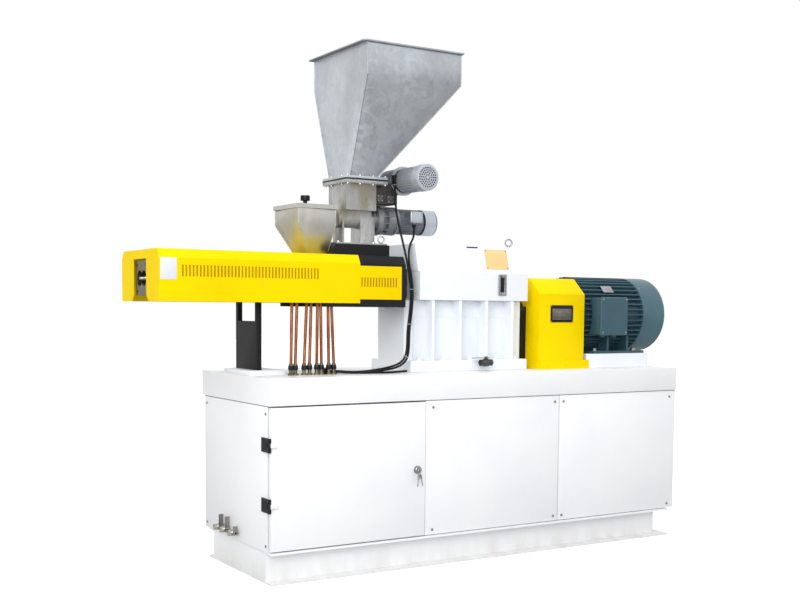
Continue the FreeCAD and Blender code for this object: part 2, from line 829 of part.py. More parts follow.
def feed_section():
    bottom = f"({COVER_BOTTOM} - tongue_sheet)"
    neck_length = f"({FLANGE_CASE_LEFT} - {HOUSING_RIGHT})"
    solid = fuse([
        prism("YZ", cover_outline("housing_half", "0", bottom), "feed_left", "housing_length"),
        block(("feed_left - tongue_length", "-housing_half", bottom),
              ("tongue_length", "tongue_rail", "tongue_sheet")),
        block(("feed_left - tongue_length", "housing_half - tongue_rail", bottom),
              ("tongue_length", "tongue_rail", "tongue_sheet")),
        block((HOUSING_RIGHT, "-neck_half", f"{BARREL_LEVEL} - neck_half"),
              (neck_length, "2*neck_half", "2*neck_half")),
    ])
    keep("feed_housing", cut(solid, fuse(bores("feed_left", f"housing_length + {neck_length}"))))
    front = "(-housing_half - vent_panel_sheet)"
    panel = block(("feed_left", front, f"{BARREL_LEVEL} - vent_panel_drop"),
                  ("vent_panel_length", "vent_panel_sheet", "vent_panel_drop + vent_panel_rise"))
    vents = slot_row("(feed_left + vent_inset)", "vent_run", f"({BARREL_LEVEL} - vent_drop)",
                     "vent_tall", "vent_count", front, "vent_panel_sheet")
    keep("feed_vent_panel", cut(panel, vents))


def feeder_seat():
    left, right = "(feed_left - seat_reach)", "(feed_left + seat_right)"
    seat = taper((left, right, "seat_half"), (f"({left} + seat_slant)", right, "seat_half"),
                 COVER_TOP, SEAT_TOP)
    throat_right = "(feed_left - side_throat_reach + side_throat_length)"
    rise = "(seat_height/side_slope)"
    clear_right = (f"({throat_right} + side_gap + {rise}*(side_length - side_reach + side_throat_reach"
                   " - side_throat_length))")
    clear_half = f"(side_throat_half + side_gap + {rise}*(side_half - side_throat_half))"
    clear = block((left, f"-{clear_half}", COVER_TOP),
                  (f"{clear_right} - {left}", f"2*{clear_half}", "seat_height"))
    keep("feeder_seat", cut(seat, clear))


def feeder():
    trough_length = f"({TROUGH_RIGHT} - {TROUGH_LEFT})"
    plate = block(("feed_left - feeder_plate_reach", "-feeder_plate_half", SEAT_TOP),
                  ("feeder_plate_reach + feeder_plate_right", "2*feeder_plate_half", "feeder_plate"))
    legs = [block((left, "-leg_half", STAND_TOP), (width, "2*leg_half", "leg_height"))
            for left, width in (("feed_left + leg_left", "leg_sheet"),
                                ("feed_left + leg_block_left", "leg_block_length"))]
    saddle = rod((TROUGH_LEFT, "0", TROUGH_AXIS), "trough_radius", trough_length, "x")
    keep("feeder_stand", cut(fuse([plate] + legs), saddle))
    keep("feeder_box", fuse([
        rod((TROUGH_LEFT, "0", TROUGH_AXIS), "trough_radius", trough_length, "x"),
        block((BOX_LEFT, "-trough_radius", TROUGH_AXIS), ("box_length", "2*trough_radius", "box_neck")),
        block((BOX_LEFT, "-box_half", f"{TROUGH_AXIS} + box_neck"),
              ("box_length", "2*box_half", "box_height - box_neck")),
        block((f"{BOX_LEFT} - flange_reach", "-flange_half", BOX_TOP),
              ("box_length + flange_reach + flange_out", "2*flange_half", "flange_sheet")),
    ]))


def inset(rectangle_sizes):
    """The inside of a rectangle of (left, right, half depth), one wall in from it."""
    left, right, half = rectangle_sizes
    return (f"({left} + hopper_wall)", f"({right} - hopper_wall)", f"({half} - hopper_wall)")


def hollow(throat, top, low, shoulder, rim):
    """Four sloping sheet walls below an upright band, open at the top and the bottom."""
    outer = fuse([taper(throat, top, low, shoulder), taper(top, top, shoulder, rim)])
    inner = fuse([taper(inset(throat), inset(top), low, shoulder),
                  taper(inset(top), inset(top), shoulder, rim)])
    return cut(outer, inner)


def main_hopper():
    throat = (THROAT_LEFT, f"({THROAT_LEFT} + throat_length)", "throat_half")
    top = (THROAT_LEFT, f"({THROAT_LEFT} + hopper_length)", "hopper_half")
    lip = (f"({THROAT_LEFT} - rim_lip)", f"({THROAT_LEFT} + hopper_length + rim_lip)",
           "(hopper_half + rim_lip)")
    lip_bottom = f"({HOPPER_RIM} - hopper_wall)"
    flange_bottom = f"({BOX_TOP} + flange_sheet)"
    flange = block((f"{BOX_LEFT} - flange_reach", "-flange_half", flange_bottom),
                   ("box_length + flange_reach + flange_out", "2*flange_half", "flange_sheet"))
    keep("main_hopper", fuse([
        hollow(throat, top, THROAT, SHOULDER, HOPPER_RIM),
        cut(taper(lip, lip, lip_bottom, HOPPER_RIM), taper(inset(top), inset(top), lip_bottom, HOPPER_RIM)),
        cut(flange, taper(inset(throat), inset(throat), flange_bottom, THROAT)),
    ]))


def side_hopper():
    left, right = "(feed_left - side_reach)", "(feed_left - side_reach + side_length)"
    throat_left = "(feed_left - side_throat_reach)"
    shoulder = f"({COVER_TOP} + side_slope)"
    rim = f"({shoulder} + side_band)"
    keep("side_hopper", hollow((throat_left, f"({throat_left} + side_throat_length)", "side_throat_half"),
                               (left, right, "side_half"), COVER_TOP, shoulder, rim))
    lid_left = f"({left} - lid_overhang)"
    width = "(side_length + 2*lid_overhang)"
    half = "(side_half + lid_overhang)"
    outer = block((lid_left, f"-{half}", f"{rim} - lid_skirt"), (width, f"2*{half}", "lid_skirt + lid_sheet"))
    inner = block((f"{lid_left} + lid_sheet", f"-{half} + lid_sheet", f"{rim} - lid_skirt"),
                  (f"{width} - 2*lid_sheet", f"2*{half} - 2*lid_sheet", "lid_skirt"))
    middle = f"({left} + side_length/2)"
    stem_top = f"({rim} + lid_sheet + knob_stem)"
    keep("side_hopper_lid", fuse([
        cut(outer, inner),
        rod((middle, "0", f"{rim} + lid_sheet"), "knob_stem_radius", "knob_stem"),
        rod((middle, "0", stem_top), "knob_radius", "knob_height"),
    ]))


def feeder_drive():
    flange_left = f"({TROUGH_RIGHT} + drive_neck)"
    cone_left = f"({flange_left} + drive_flange)"
    gear_left = f"({cone_left} + drive_cone)"
    motor_left = f"({gear_left} + drive_gear)"
    cowl_left = f"({motor_left} + feeder_motor_length)"
    cone = doc.addObject("Part::Cone", "Cone")
    for name, text in (("Radius1", "drive_flange_radius"), ("Radius2", "drive_cone_radius"),
                       ("Height", "drive_cone")):
        cone.setExpression(name, cell(text))
    keep("feeder_gearbox", fuse([
        rod((TROUGH_RIGHT, "0", TROUGH_AXIS), "drive_neck_radius", "drive_neck", "x"),
        rod((flange_left, "0", TROUGH_AXIS), "drive_flange_radius", "drive_flange", "x"),
        place(cone, (cone_left, "0", TROUGH_AXIS), TURNS["x"]),
        rod((gear_left, "0", TROUGH_AXIS), "drive_gear_radius", "drive_gear", "x"),
    ]))
    box_left = f"({motor_left} + feeder_box_start)"
    box_bottom = f"({TROUGH_AXIS} - feeder_box_drop)"
    keep("feeder_motor", fuse([
        rod((motor_left, "0", TROUGH_AXIS), "feeder_motor_radius", "feeder_motor_length", "x"),
        rod((cowl_left, "0", TROUGH_AXIS), "feeder_cowl_radius", "feeder_cowl_length", "x"),
        block((box_left, "-feeder_box_reach", box_bottom),
              ("feeder_box_length", "feeder_box_reach", "feeder_box_height")),
        rod((f"{box_left} + 3*gland_radius", "-gland_reach", f"{box_bottom} - gland_length"),
            "gland_radius", "gland_length"),
    ]))


def agitator_drive():
    axis_x = f"({BOX_RIGHT} + agitator_out)"
    axis_z = f"({BOX_TOP} + agitator_rise)"
    keep("agitator_gearbox", fuse([
        block((BOX_RIGHT, "-worm_half", f"{BOX_TOP} - worm_height"),
              ("worm_length", "2*worm_half", "worm_height")),
        rod((axis_x, "-worm_half", axis_z), "agitator_cowl_radius", "2*worm_half", "y"),
    ]))
    gland_left = f"({axis_x} - agitator_radius - agitator_gland/2)"
    keep("agitator_motor", fuse([
        rod((axis_x, "-agitator_reach", axis_z), "agitator_radius", "agitator_reach - worm_half", "y"),
        rod((axis_x, "-agitator_reach", axis_z), "agitator_cowl_radius", "agitator_cowl_length", "y"),
        block((gland_left, "-worm_half - agitator_gland", f"{axis_z} - agitator_gland_height/2"),
              ("agitator_gland", "agitator_gland", "agitator_gland_height")),
    ]))


# --- gearbox, coupling and motor ----------------------------------------------------------------

def gearbox():
    height = f"({FLANGE_CASE_BOTTOM} - {CASE_FOOT_TOP})"
    pieces = [block(("case_left", "-flange_case_half", DECK_TOP),
                    ("case_length", "2*flange_case_half", "case_foot")),
              block(("case_left", "-case_half", CASE_FOOT_TOP), ("case_length", "2*case_half", height))]
    for number in range(int(value("rib_count"))):
        rib_left = f"(case_left + rib_inset + {number}*rib_pitch - rib_thick/2)"
        for front in ("-flange_case_half", "case_half"):
            pieces.append(block((rib_left, front, CASE_FOOT_TOP),
                                ("rib_thick", "flange_case_half - case_half", height)))
    keep("gearbox_lower_case", fuse(pieces))
    keep("gearbox_middle_case", block((FLANGE_CASE_LEFT, "-flange_case_half", FLANGE_CASE_BOTTOM),
                                      (f"{CASE_RIGHT} - {FLANGE_CASE_LEFT}", "2*flange_case_half",
                                       "flange_case_drop + flange_case_rise")))
    right = f"({CASE_RIGHT} - top_case_short)"
    keep("gearbox_top_case", taper((FLANGE_CASE_LEFT, right, "top_case_half"),
                                   (FLANGE_CASE_LEFT, right, "(top_case_half - top_case_lean)"),
                                   FLANGE_CASE_TOP, f"({FLANGE_CASE_TOP} + top_case_height)"))


def coupling_housing():
    bottom = f"({DECK_TOP} + bell_rise)"
    top = f"({bottom} + bell_height)"
    keep("coupling_housing", prism("XZ", [
        (CASE_RIGHT, bottom), (GUARD_LEFT, bottom), (GUARD_LEFT, top),
        (f"({CASE_RIGHT} + bell_bevel_run)", top), (CASE_RIGHT, f"({top} - bell_bevel_drop)"),
    ], "-bell_half", "2*bell_half"))


def guard_outline(trim, bottom):
    side = f"(guard_half - {trim})"
    top_side = f"(guard_top_half - {trim}/2)"
    top = f"({DECK_TOP} + guard_height - {trim})"
    shoulder = f"({DECK_TOP} + guard_shoulder - {trim}/2)"
    return [(f"-{side}", bottom), (side, bottom), (side, shoulder), (top_side, top),
            (f"-{top_side}", top), (f"-{side}", shoulder)]


def coupling_guard():
    skirt_half = "(guard_half + guard_skirt_out)"
    outer = fuse([prism("YZ", guard_outline("0", DECK_TOP), GUARD_LEFT, "guard_length"),
                  block((GUARD_LEFT, f"-{skirt_half}", DECK_TOP),
                        ("guard_length + guard_skirt_out", f"2*{skirt_half}", "guard_skirt_height"))])
    inner = prism("YZ", guard_outline("guard_sheet", f"({DECK_TOP} - guard_sheet)"),
                  f"{GUARD_LEFT} + guard_sheet", "guard_length + guard_skirt_out")
    hole = rod((GUARD_LEFT, "0", SHAFT_LEVEL), "guard_hole", "guard_sheet", "x")
    keep("coupling_guard", cut(cut(outer, inner), hole))


def motor_frame():
    """The round frame, with one fin repeated around it."""
    body = doc.addObject("PartDesign::Body", "Frame")
    core = body.newObject("PartDesign::Pad", "Core")
    drawing = body.newObject("Sketcher::SketchObject", "Circle")
    drawing.AttachmentSupport = [(origin_axis(body, PLANES["YZ"])[0], "")]
    drawing.MapMode = "FlatFace"
    drawing.addGeometry(Part.Circle(VECTOR(), VECTOR(0, 0, 1), value("motor_core_radius")), False)
    drawing.addConstraint(Sketcher.Constraint("Coincident", 0, 3, -1, 1))
    row = drawing.addConstraint(Sketcher.Constraint("Radius", 0, value("motor_core_radius")))
    drawing.setExpression(f"Constraints[{row}]", cell("motor_core_radius"))
    core.Profile = drawing
    core.setExpression("Length", cell("motor_frame_length"))
    fin = body.newObject("PartDesign::Pad", "Fin")
    fin.Profile = sketch(body, "YZ", rectangle("(-motor_fin/2)", "(motor_fin/2)",
                                               "(motor_core_radius - motor_fin)", "motor_radius"))
    fin.setExpression("Length", cell("motor_frame_length"))
    fins = body.newObject("PartDesign::PolarPattern", "Fins")
    fins.Originals = [fin]
    fins.Axis = origin_axis(body, "X_Axis")
    fins.Angle = 360
    fins.setExpression("Occurrences", cell("motor_fin_count"))
    body.Tip = fins
    return place(body, (FRAME_LEFT, "0", SHAFT_LEVEL))


def motor():
    shield_left = f"({GUARD_RIGHT} - motor_shield_reach)"
    bolt_middle = f"({FRAME_LEFT} + foot_bolt_start)"
    pieces = [motor_frame(), rod((shield_left, "0", SHAFT_LEVEL), "motor_core_radius",
                                 f"{FRAME_LEFT} - {shield_left}", "x")]
    width = "(motor_foot_half - motor_foot_inner)"
    for front, gusset_front in (("-motor_foot_half", "-motor_foot_half + gusset"),
                                ("motor_foot_inner", "motor_foot_inner")):
        pieces.append(block((f"{bolt_middle} - motor_foot_length/2", front, MOTOR_FEET),
                            ("motor_foot_length", width, "motor_foot_plate")))
        for way in (-1, 1):
            pieces.append(block((f"{bolt_middle} + {way}*foot_bolts_along/4 - gusset/2", gusset_front,
                                 MOTOR_FEET), ("gusset", f"{width} - gusset", "gusset_height")))
    holes = [rod((f"{bolt_middle} + {along}*foot_bolts_along/2", f"{side}*foot_bolts_across/2",
                  MOTOR_FEET), "foot_bolt_radius", "motor_foot_plate")
             for along in (-1, 1) for side in (-1, 1)]
    keep("main_motor", cut(fuse(pieces), fuse(holes)))


def motor_fan_cowl():
    """A cylinder whose outer edge is rounded by a ring."""
    straight = "(motor_cowl_length - motor_cowl_round)"
    inner_radius = "(motor_radius - motor_cowl_round)"
    ring = doc.addObject("Part::Torus", "Ring")
    ring.setExpression("Radius1", cell(inner_radius))
    ring.setExpression("Radius2", cell("motor_cowl_round"))
    keep("motor_fan_cowl", fuse([
        rod((FRAME_RIGHT, "0", SHAFT_LEVEL), "motor_radius", straight, "x"),
        rod((FRAME_RIGHT, "0", SHAFT_LEVEL), inner_radius, "motor_cowl_length", "x"),
        place(ring, (f"{FRAME_RIGHT} + {straight}", "0", SHAFT_LEVEL), TURNS["x"]),
    ]))


def motor_trim():
    box = block((f"{FRAME_LEFT} + terminal_start", "-terminal_reach", f"{SHAFT_LEVEL} - terminal_drop"),
                ("terminal_length", "terminal_reach", "terminal_height"))
    around = rod((FRAME_LEFT, "0", SHAFT_LEVEL), "motor_radius + fit_gap", "motor_frame_length", "x")
    keep("motor_terminal_box", cut(box, around))
    keep("motor_base", block((f"{GUARD_RIGHT} + guard_skirt_out", "-motor_base_half", DECK_TOP),
                             ("motor_base_length", "2*motor_base_half", "motor_base_height")))


# --- cooling pipes and cables -------------------------------------------------------------------

# Each pipe's foot, measured from the feed housing, and how far it leans to the right on its way up.
PIPES = ((-278, 4), (-259, 8), (-220, 12), (-196, 7), (-164, 3), (-143, -5), (-110, -5), (-87, -14))


def swept(points, radius, arc_radius):
    """A tube along straight runs joined by tangent arcs, and its path."""
    corners = [VECTOR(*point) for point in points]
    edges, radii = [], []
    begin = corners[0]
    for before, corner, after in zip(corners, corners[1:], corners[2:]):
        inward = (before - corner).normalize()
        outward = (after - corner).normalize()
        half_turn = (math.pi - inward.getAngle(outward)) / 2
        shorter = min((before - corner).Length, (after - corner).Length)
        bend = arc_radius or 0.45 * shorter / math.tan(half_turn)
        reach = bend * math.tan(half_turn)
        bisector = (inward + outward).normalize()
        centre = corner + bisector * (bend / math.cos(half_turn))
        start, end = corner + inward * reach, corner + outward * reach
        edges.append(Part.LineSegment(begin, start).toShape())
        edges.append(Part.Arc(start, centre - bisector * bend, end).toShape())
        begin = end
        radii.append(bend)
    edges.append(Part.LineSegment(begin, corners[-1]).toShape())
    path = Part.Wire(edges)
    ring = Part.Wire([Part.Circle(corners[0], corners[1] - corners[0], radius).toShape()])
    return path.makePipeShell([ring], True, False), path.Length, radii


def cooling():
    """Each pipe stands in its nut and bends over to the barrel under the cover. Two share a pad."""
    lane = -value("pipe_lane")
    top = value(BARREL_LEVEL) - value("pipe_drop")
    deck_top = value(DECK_TOP)
    pipes, fittings = [], []
    feet = [value("feed_left") + foot for foot, _ in PIPES]
    for foot, (_, lean) in zip(feet, PIPES):
        route = [(foot, lane, deck_top + value("fitting_height")), (foot + lean, lane, top),
                 (foot + lean, -value("barrel_half"), top)]
        pipes.append(swept(route, value("pipe_radius"), value("pipe_bend"))[0])
    for pair in zip(feet[::2], feet[1::2]):
        pieces = []
        for foot in pair:
            here = VECTOR(foot, lane, deck_top)
            pieces.append(Part.makeCylinder(value("fitting_pad_radius"), value("fitting_pad"), here))
            pieces.append(Part.makeCylinder(value("fitting_radius"), value("fitting_height"), here))
            pieces.append(Part.makeCylinder(value("nut_radius"), value("nut_height"),
                                            here + VECTOR(0, 0, value("nut_rise"))))
        fittings.append(pieces[0].multiFuse(pieces[1:]).removeSplitter())
    fittings.append(Part.makeBox(value("gland_box_length"), value("gland_box_depth"),
                                 value("gland_box_height"),
                                 VECTOR(value("gland_box_left"), value("gland_box_front"), deck_top)))
    for name, solids in (("cooling_pipes", pipes), ("deck_fittings", fittings)):
        group = doc.addObject("Part::Feature", "Group")
        group.Shape = Part.makeCompound(solids)
        keep(name, group)


# Where each cable goes, chosen by hand. The first two are tied together below the feed housing.
CABLES = {
    "cable_agitator": [
        (-356, -69, 1573), (-356, -69, 1515), (-353, -88, 1428), (-348, -118, 1345), (-345, -149, 1265),
        (-342, -170, 1187), (-339.3, -178.5, 1120), (-346.3, -181, 1045), (-359.8, -184, 965),
        (-361.8, -187, 904), (-369.4, -189, 862), (-388, -188.5, 837), (-421, -184, 821.5),
        (-479, -175, 809), (-543, -161.5, 800), (-602, -137.5, 797), (-652, -104, 802),
        (-695, -104, 802),
    ],
    "cable_feeder": [
        (-264.5, -78, 1405), (-264.5, -78, 1374), (-275, -86.5, 1351), (-296, -103, 1335),
        (-319, -125, 1303), (-334, -150, 1252), (-332.4, -170, 1187), (-329.7, -178.5, 1120),
        (-336.7, -181, 1045), (-350.2, -184, 965), (-352.2, -187, 899), (-360.6, -189, 853),
        (-382, -190.5, 829), (-419, -188.5, 812.5), (-480, -183.5, 803), (-545, -172, 798),
        (-603, -150, 796.5), (-656, -116, 801), (-695, -116, 801),
    ],
    "cable_spare": [
        (-695, -128, 800), (-662, -128, 800), (-610, -160, 796), (-548, -184, 795.7),
        (-483, -196, 795.7), (-417, -194, 796.5), (-360, -182, 799),
    ],
}


def cables():
    radius = value("cable_radius")
    for name, points in CABLES.items():
        tube, length, radii = swept(points, radius, None)
        print(f"{name}: length {length:.0f} mm, tightest bend {min(radii):.0f} mm,"
              f" volume against section times length {tube.Volume / (math.pi * radius ** 2 * length):.4f}")
        cable = doc.addObject("Part::Feature", "Cable")
        cable.Shape = tube
        keep(name, cable)


for build in (base_frame, cabinet, front_door, door_hinges, deck, ball_valves, barrel_support, barrel,
              screws, barrel_cover, feed_section, feeder_seat, feeder, main_hopper, side_hopper,
              feeder_drive, agitator_drive, gearbox, coupling_housing, coupling_guard, motor,
              motor_fan_cowl, motor_trim, cooling, cables):
    build()
doc.recompute()

failed = [thing.Name for thing in doc.Objects if {"Invalid", "Error"} & set(thing.State)]
if failed:
    raise RuntimeError(f"failed objects: {failed}")
for thing in subparts:
    if thing.Shape.isNull() or not thing.Shape.isValid():
        raise RuntimeError(f"bad shape: {thing.Label}")
os.makedirs("parts", exist_ok=True)
for thing in subparts:
    thing.Shape.exportStep(f"parts/{thing.Label}.step")
    print(f"{thing.Label}: {len(thing.Shape.Solids)} solids, {thing.Shape.Volume / 1e6:.3f} litres")
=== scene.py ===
# %% [markdown]
# # A twin-screw plastic extruder
# The machine stands on a steel cabinet: barrel and feeder on the left, gearbox in the middle, motor on the
# right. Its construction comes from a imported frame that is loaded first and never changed. This lesson gives
# it its looks: soft edges, paint and metal, and the screws, plates, grilles and cables on it.

import json
import math

import bmesh
import bpy
from mathutils import Matrix, Vector

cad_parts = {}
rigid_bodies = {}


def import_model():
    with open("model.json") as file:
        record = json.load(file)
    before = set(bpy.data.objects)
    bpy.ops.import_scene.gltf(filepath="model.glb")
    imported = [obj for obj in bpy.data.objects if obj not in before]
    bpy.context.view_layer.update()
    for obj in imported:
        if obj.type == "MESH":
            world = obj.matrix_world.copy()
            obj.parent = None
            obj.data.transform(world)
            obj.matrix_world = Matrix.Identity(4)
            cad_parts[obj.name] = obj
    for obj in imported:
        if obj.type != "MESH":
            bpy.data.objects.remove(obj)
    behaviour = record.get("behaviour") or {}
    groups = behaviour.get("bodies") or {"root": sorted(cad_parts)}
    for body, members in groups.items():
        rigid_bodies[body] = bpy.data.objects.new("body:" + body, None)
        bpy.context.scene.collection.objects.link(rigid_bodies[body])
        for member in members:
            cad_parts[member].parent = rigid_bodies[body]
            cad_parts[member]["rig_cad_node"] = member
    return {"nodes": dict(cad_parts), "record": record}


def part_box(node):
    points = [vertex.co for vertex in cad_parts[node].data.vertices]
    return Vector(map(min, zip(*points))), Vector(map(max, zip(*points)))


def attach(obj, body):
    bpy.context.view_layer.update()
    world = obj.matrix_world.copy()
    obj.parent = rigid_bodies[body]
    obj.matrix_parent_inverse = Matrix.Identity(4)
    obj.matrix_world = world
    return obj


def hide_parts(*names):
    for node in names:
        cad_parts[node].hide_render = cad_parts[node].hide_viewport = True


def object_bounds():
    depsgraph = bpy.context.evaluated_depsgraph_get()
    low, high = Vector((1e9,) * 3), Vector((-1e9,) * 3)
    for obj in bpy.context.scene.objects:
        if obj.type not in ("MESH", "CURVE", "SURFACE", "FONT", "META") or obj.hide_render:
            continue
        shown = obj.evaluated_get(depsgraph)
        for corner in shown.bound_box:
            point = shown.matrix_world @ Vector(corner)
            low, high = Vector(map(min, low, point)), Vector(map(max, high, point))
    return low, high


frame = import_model()
cad_low, cad_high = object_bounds()
MM = 0.001
print("frame from", cad_low, "to", cad_high)

# %% [markdown]
# ## The camera
# The view is a product view from the front left, at about half the machine's height. The camera tilts down
# very little, and a vertical shift brings the hopper into view, so that upright edges stay upright.


# %% Camera
def spin(degrees, axis):
    return Matrix.Rotation(math.radians(degrees), 4, axis)


def link(piece):
    bpy.context.scene.collection.objects.link(piece)


CAMERA_PLACE = Vector((-2.8717, -4.2054, 1.0615))
CAMERA_YAW, CAMERA_PITCH, CAMERA_ROLL = 31.65, -4.35, 0.49
LENS = 51.4
LENS_SHIFT = 0.118
camera = bpy.data.objects.new("camera", bpy.data.cameras.new("camera"))
link(camera)
camera.matrix_world = (Matrix.Translation(CAMERA_PLACE) @ spin(-CAMERA_YAW, "Z")
                       @ spin(90 + CAMERA_PITCH, "X") @ spin(CAMERA_ROLL, "Z"))
camera.data.lens = LENS
camera.data.shift_y = LENS_SHIFT
bpy.context.scene.camera = camera

# %% [markdown]
# ## The cables
# Two stiff black cables leave the feeder's two motors straight down, are tied together beside the gearbox,
# bend onto the deck and run along it to a gland box. A third is a short spare that ends bare. Each is a
# smooth spline with listed control points, because a spline bends as one flexible thing does.

# %% Cable routes
CABLE_DIAMETER = 0.009
CABLES = {
    "cable_agitator": ("object", 1.088, [
        (-356, -69, 1573), (-356, -69, 1515), (-353, -88, 1428), (-348, -118, 1345), (-345, -149, 1265),
        (-342, -170, 1187), (-339.3, -178.5, 1120), (-346.3, -181, 1045), (-359.8, -184, 965),
        (-361.8, -187, 904), (-369.4, -189, 862), (-388, -188.5, 837), (-421, -184, 821.5),
        (-479, -175, 809), (-543, -161.5, 800), (-602, -137.5, 797), (-652, -104, 802),
        (-695, -104, 802),
    ]),
    "cable_feeder": ("object", 0.957, [
        (-264.5, -78, 1405), (-264.5, -78, 1374), (-275, -86.5, 1351), (-296, -103, 1335),
        (-319, -125, 1303), (-334, -150, 1252), (-332.4, -170, 1187), (-329.7, -178.5, 1120),
        (-336.7, -181, 1045), (-350.2, -184, 965), (-352.2, -187, 899), (-360.6, -189, 853),
        (-382, -190.5, 829), (-419, -188.5, 812.5), (-480, -183.5, 803), (-545, -172, 798),
        (-603, -150, 796.5), (-656, -116, 801), (-695, -116, 801),
    ]),
    "cable_spare": ("bare", 0.350, [
        (-695, -128, 800), (-662, -128, 800), (-610, -160, 796), (-548, -184, 795.7),
        (-483, -196, 795.7), (-417, -194, 796.5), (-360, -182, 799),
    ]),
}


# %% Lay the cables
def lay_cable(name, points):
    """A round cable whose centre line is a smooth spline with these control points, in millimetres."""
    curve = bpy.data.curves.new(name, "CURVE")
    curve.dimensions = "3D"
    curve.bevel_depth = CABLE_DIAMETER / 2
    curve.bevel_resolution = 4
    curve.resolution_u = 8
    curve.use_fill_caps = True
    spline = curve.splines.new("NURBS")
    spline.points.add(len(points) - 1)
    for control, point in zip(spline.points, points):
        control.co = (*(Vector(point) * MM), 1)
    spline.order_u = 3
    spline.use_endpoint_u = True
    cable = bpy.data.objects.new(name, curve)
    link(cable)
    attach(cable, "root")
    return cable


cables = {}
for name, (far_end, length, points) in CABLES.items():
    cables[name] = lay_cable(f"{name}_sheath", points)
    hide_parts(name)
print("cables:", sorted(cables))

# %% [markdown]
# ## Helpers for modelling
# Pieces are modelled as by hand. An operator acts on all that is selected, so each helper starts by
# deselecting everything and ends with the piece at the origin, its place held in its mesh.


# %% Selecting, editing and settling
def deselect():
    bpy.ops.object.select_all(action="DESELECT")


def select_only(*pieces):
    deselect()
    for piece in pieces:
        piece.select_set(True)
    bpy.context.view_layer.objects.active = pieces[0]


def start_edit(piece):
    select_only(piece)
    bpy.ops.object.mode_set(mode="EDIT")
    bpy.ops.mesh.select_all(action="SELECT")


def pick(piece, test):
    """In edit mode, select only the faces whose middle and normal pass the test."""
    bpy.ops.mesh.select_mode(type="FACE")
    bpy.ops.mesh.select_all(action="DESELECT")
    mesh = bmesh.from_edit_mesh(piece.data)
    for face in mesh.faces:
        face.select_set(bool(test(face.calc_center_median(), face.normal)))
    bmesh.update_edit_mesh(piece.data)


def end_edit():
    bpy.ops.object.mode_set(mode="OBJECT")


def settle(piece, name):
    """Name the new primitive and put its place, turn and scale into its mesh."""
    piece.name = name
    select_only(piece)
    bpy.ops.object.transform_apply(location=True, rotation=True, scale=True)
    return piece


def apply(piece, modifier):
    select_only(piece)
    bpy.ops.object.modifier_apply(modifier=modifier.name)


def smooth(piece, angle=35):
    select_only(piece)
    bpy.ops.object.shade_smooth_by_angle(angle=math.radians(angle))
    return piece


# %% Blocks with soft edges and turned pieces
def block(name, low, high, edge=1.0, segments=2):
    """A block between two corners, in millimetres, with bevelled edges."""
    low, high = Vector(low) * MM, Vector(high) * MM
    deselect()
    bpy.ops.mesh.primitive_cube_add(size=1, location=(low + high) / 2, scale=high - low)
    piece = settle(bpy.context.object, name)
    start_edit(piece)
    bpy.ops.mesh.bevel(offset=edge * MM, segments=segments, affect="EDGES")
    end_edit()
    return smooth(piece)


def at(place):
    """The matrix that moves a piece from the origin to a place, in millimetres."""
    return Matrix.Translation(Vector(place) * MM)


AXES = {"x": spin(90, "Y"), "-x": spin(-90, "Y"), "y": spin(-90, "X"), "-y": spin(90, "X"),
        "z": Matrix.Identity(4)}


def facing(place, axis):
    """The matrix that stands a piece modelled along Z at a place, pointing along the axis."""
    return at(place) @ AXES[axis]


def turned(name, profile, place=(0, 0, 0), axis="z", sides=40):
    """A lathe-turned piece: a disc extruded and resized ring by ring.

    The profile is (distance along the axis, radius) pairs in millimetres.
    """
    deselect()
    bpy.ops.mesh.primitive_circle_add(vertices=sides, radius=profile[0][1] * MM, fill_type="NGON",
                                      location=(0, 0, profile[0][0] * MM))
    piece = settle(bpy.context.object, name)
    start_edit(piece)
    for (along, radius), (next_along, next_radius) in zip(profile, profile[1:]):
        bpy.ops.mesh.extrude_region_move(TRANSFORM_OT_translate={"value": (0, 0, (next_along - along) * MM)})
        grow = next_radius / radius
        bpy.ops.transform.resize(value=(grow, grow, 1), center_override=(0, 0, next_along * MM))
    bpy.ops.mesh.select_all(action="SELECT")
    bpy.ops.mesh.normals_make_consistent(inside=False)
    end_edit()
    piece.data.transform(facing(place, axis))
    return smooth(piece)


# %% Repeating, joining and cutting
def join(name, pieces):
    select_only(*pieces)
    if len(pieces) > 1:
        bpy.ops.object.join()
    pieces[0].name = name
    return pieces[0]


def repeat(name, pattern, places):
    """Copy a small piece modelled at the origin to each place (a matrix, or millimetres), as one mesh."""
    copies = []
    for place in places:
        copy = pattern.copy()
        copy.data = pattern.data.copy()
        copy.data.transform(place if isinstance(place, Matrix) else at(place))
        link(copy)
        copies.append(copy)
    bpy.data.objects.remove(pattern)
    return join(name, copies)


def ring_of(count, radius, centre, axis, start=0.0):
    """Matrices that stand a piece at equal steps round a circle, facing along the axis."""
    turns = [math.radians(start + 360 * number / count) for number in range(count)]
    spots = [(radius * math.cos(turn), radius * math.sin(turn), 0) for turn in turns]
    return [facing(centre, axis) @ at(spot) for spot in spots]


def around(axis, count, centre, start=0.0):
    """Matrices that copy a piece modelled off the axis round it, about a centre in millimetres."""
    return [at(centre) @ spin(start + 360 * number / count, axis) for number in range(count)]


def drill(piece, cutters):
    """Cut the joined cutters out of the piece with a Boolean, applied at once."""
    hole = piece.modifiers.new("Holes", "BOOLEAN")
    hole.operation = "DIFFERENCE"
    hole.object = cutters
    apply(piece, hole)
    bpy.data.objects.remove(cutters)
    return smooth(piece)

# %% [markdown]
# ## Finishes
# Each material starts from what the real surface is and how it was made. Colours are sRGB hex values turned
# to linear light by one function, and patterns read Object coordinates, which are metres here.


# %% Nodes and colours
def linear(code):
    """An sRGB hex colour such as "F9D800" as linear RGBA."""
    channels = [int(code[place:place + 2], 16) / 255 for place in (0, 2, 4)]
    return (*(c / 12.92 if c <= 0.04045 else ((c + 0.055) / 1.055) ** 2.4 for c in channels), 1.0)


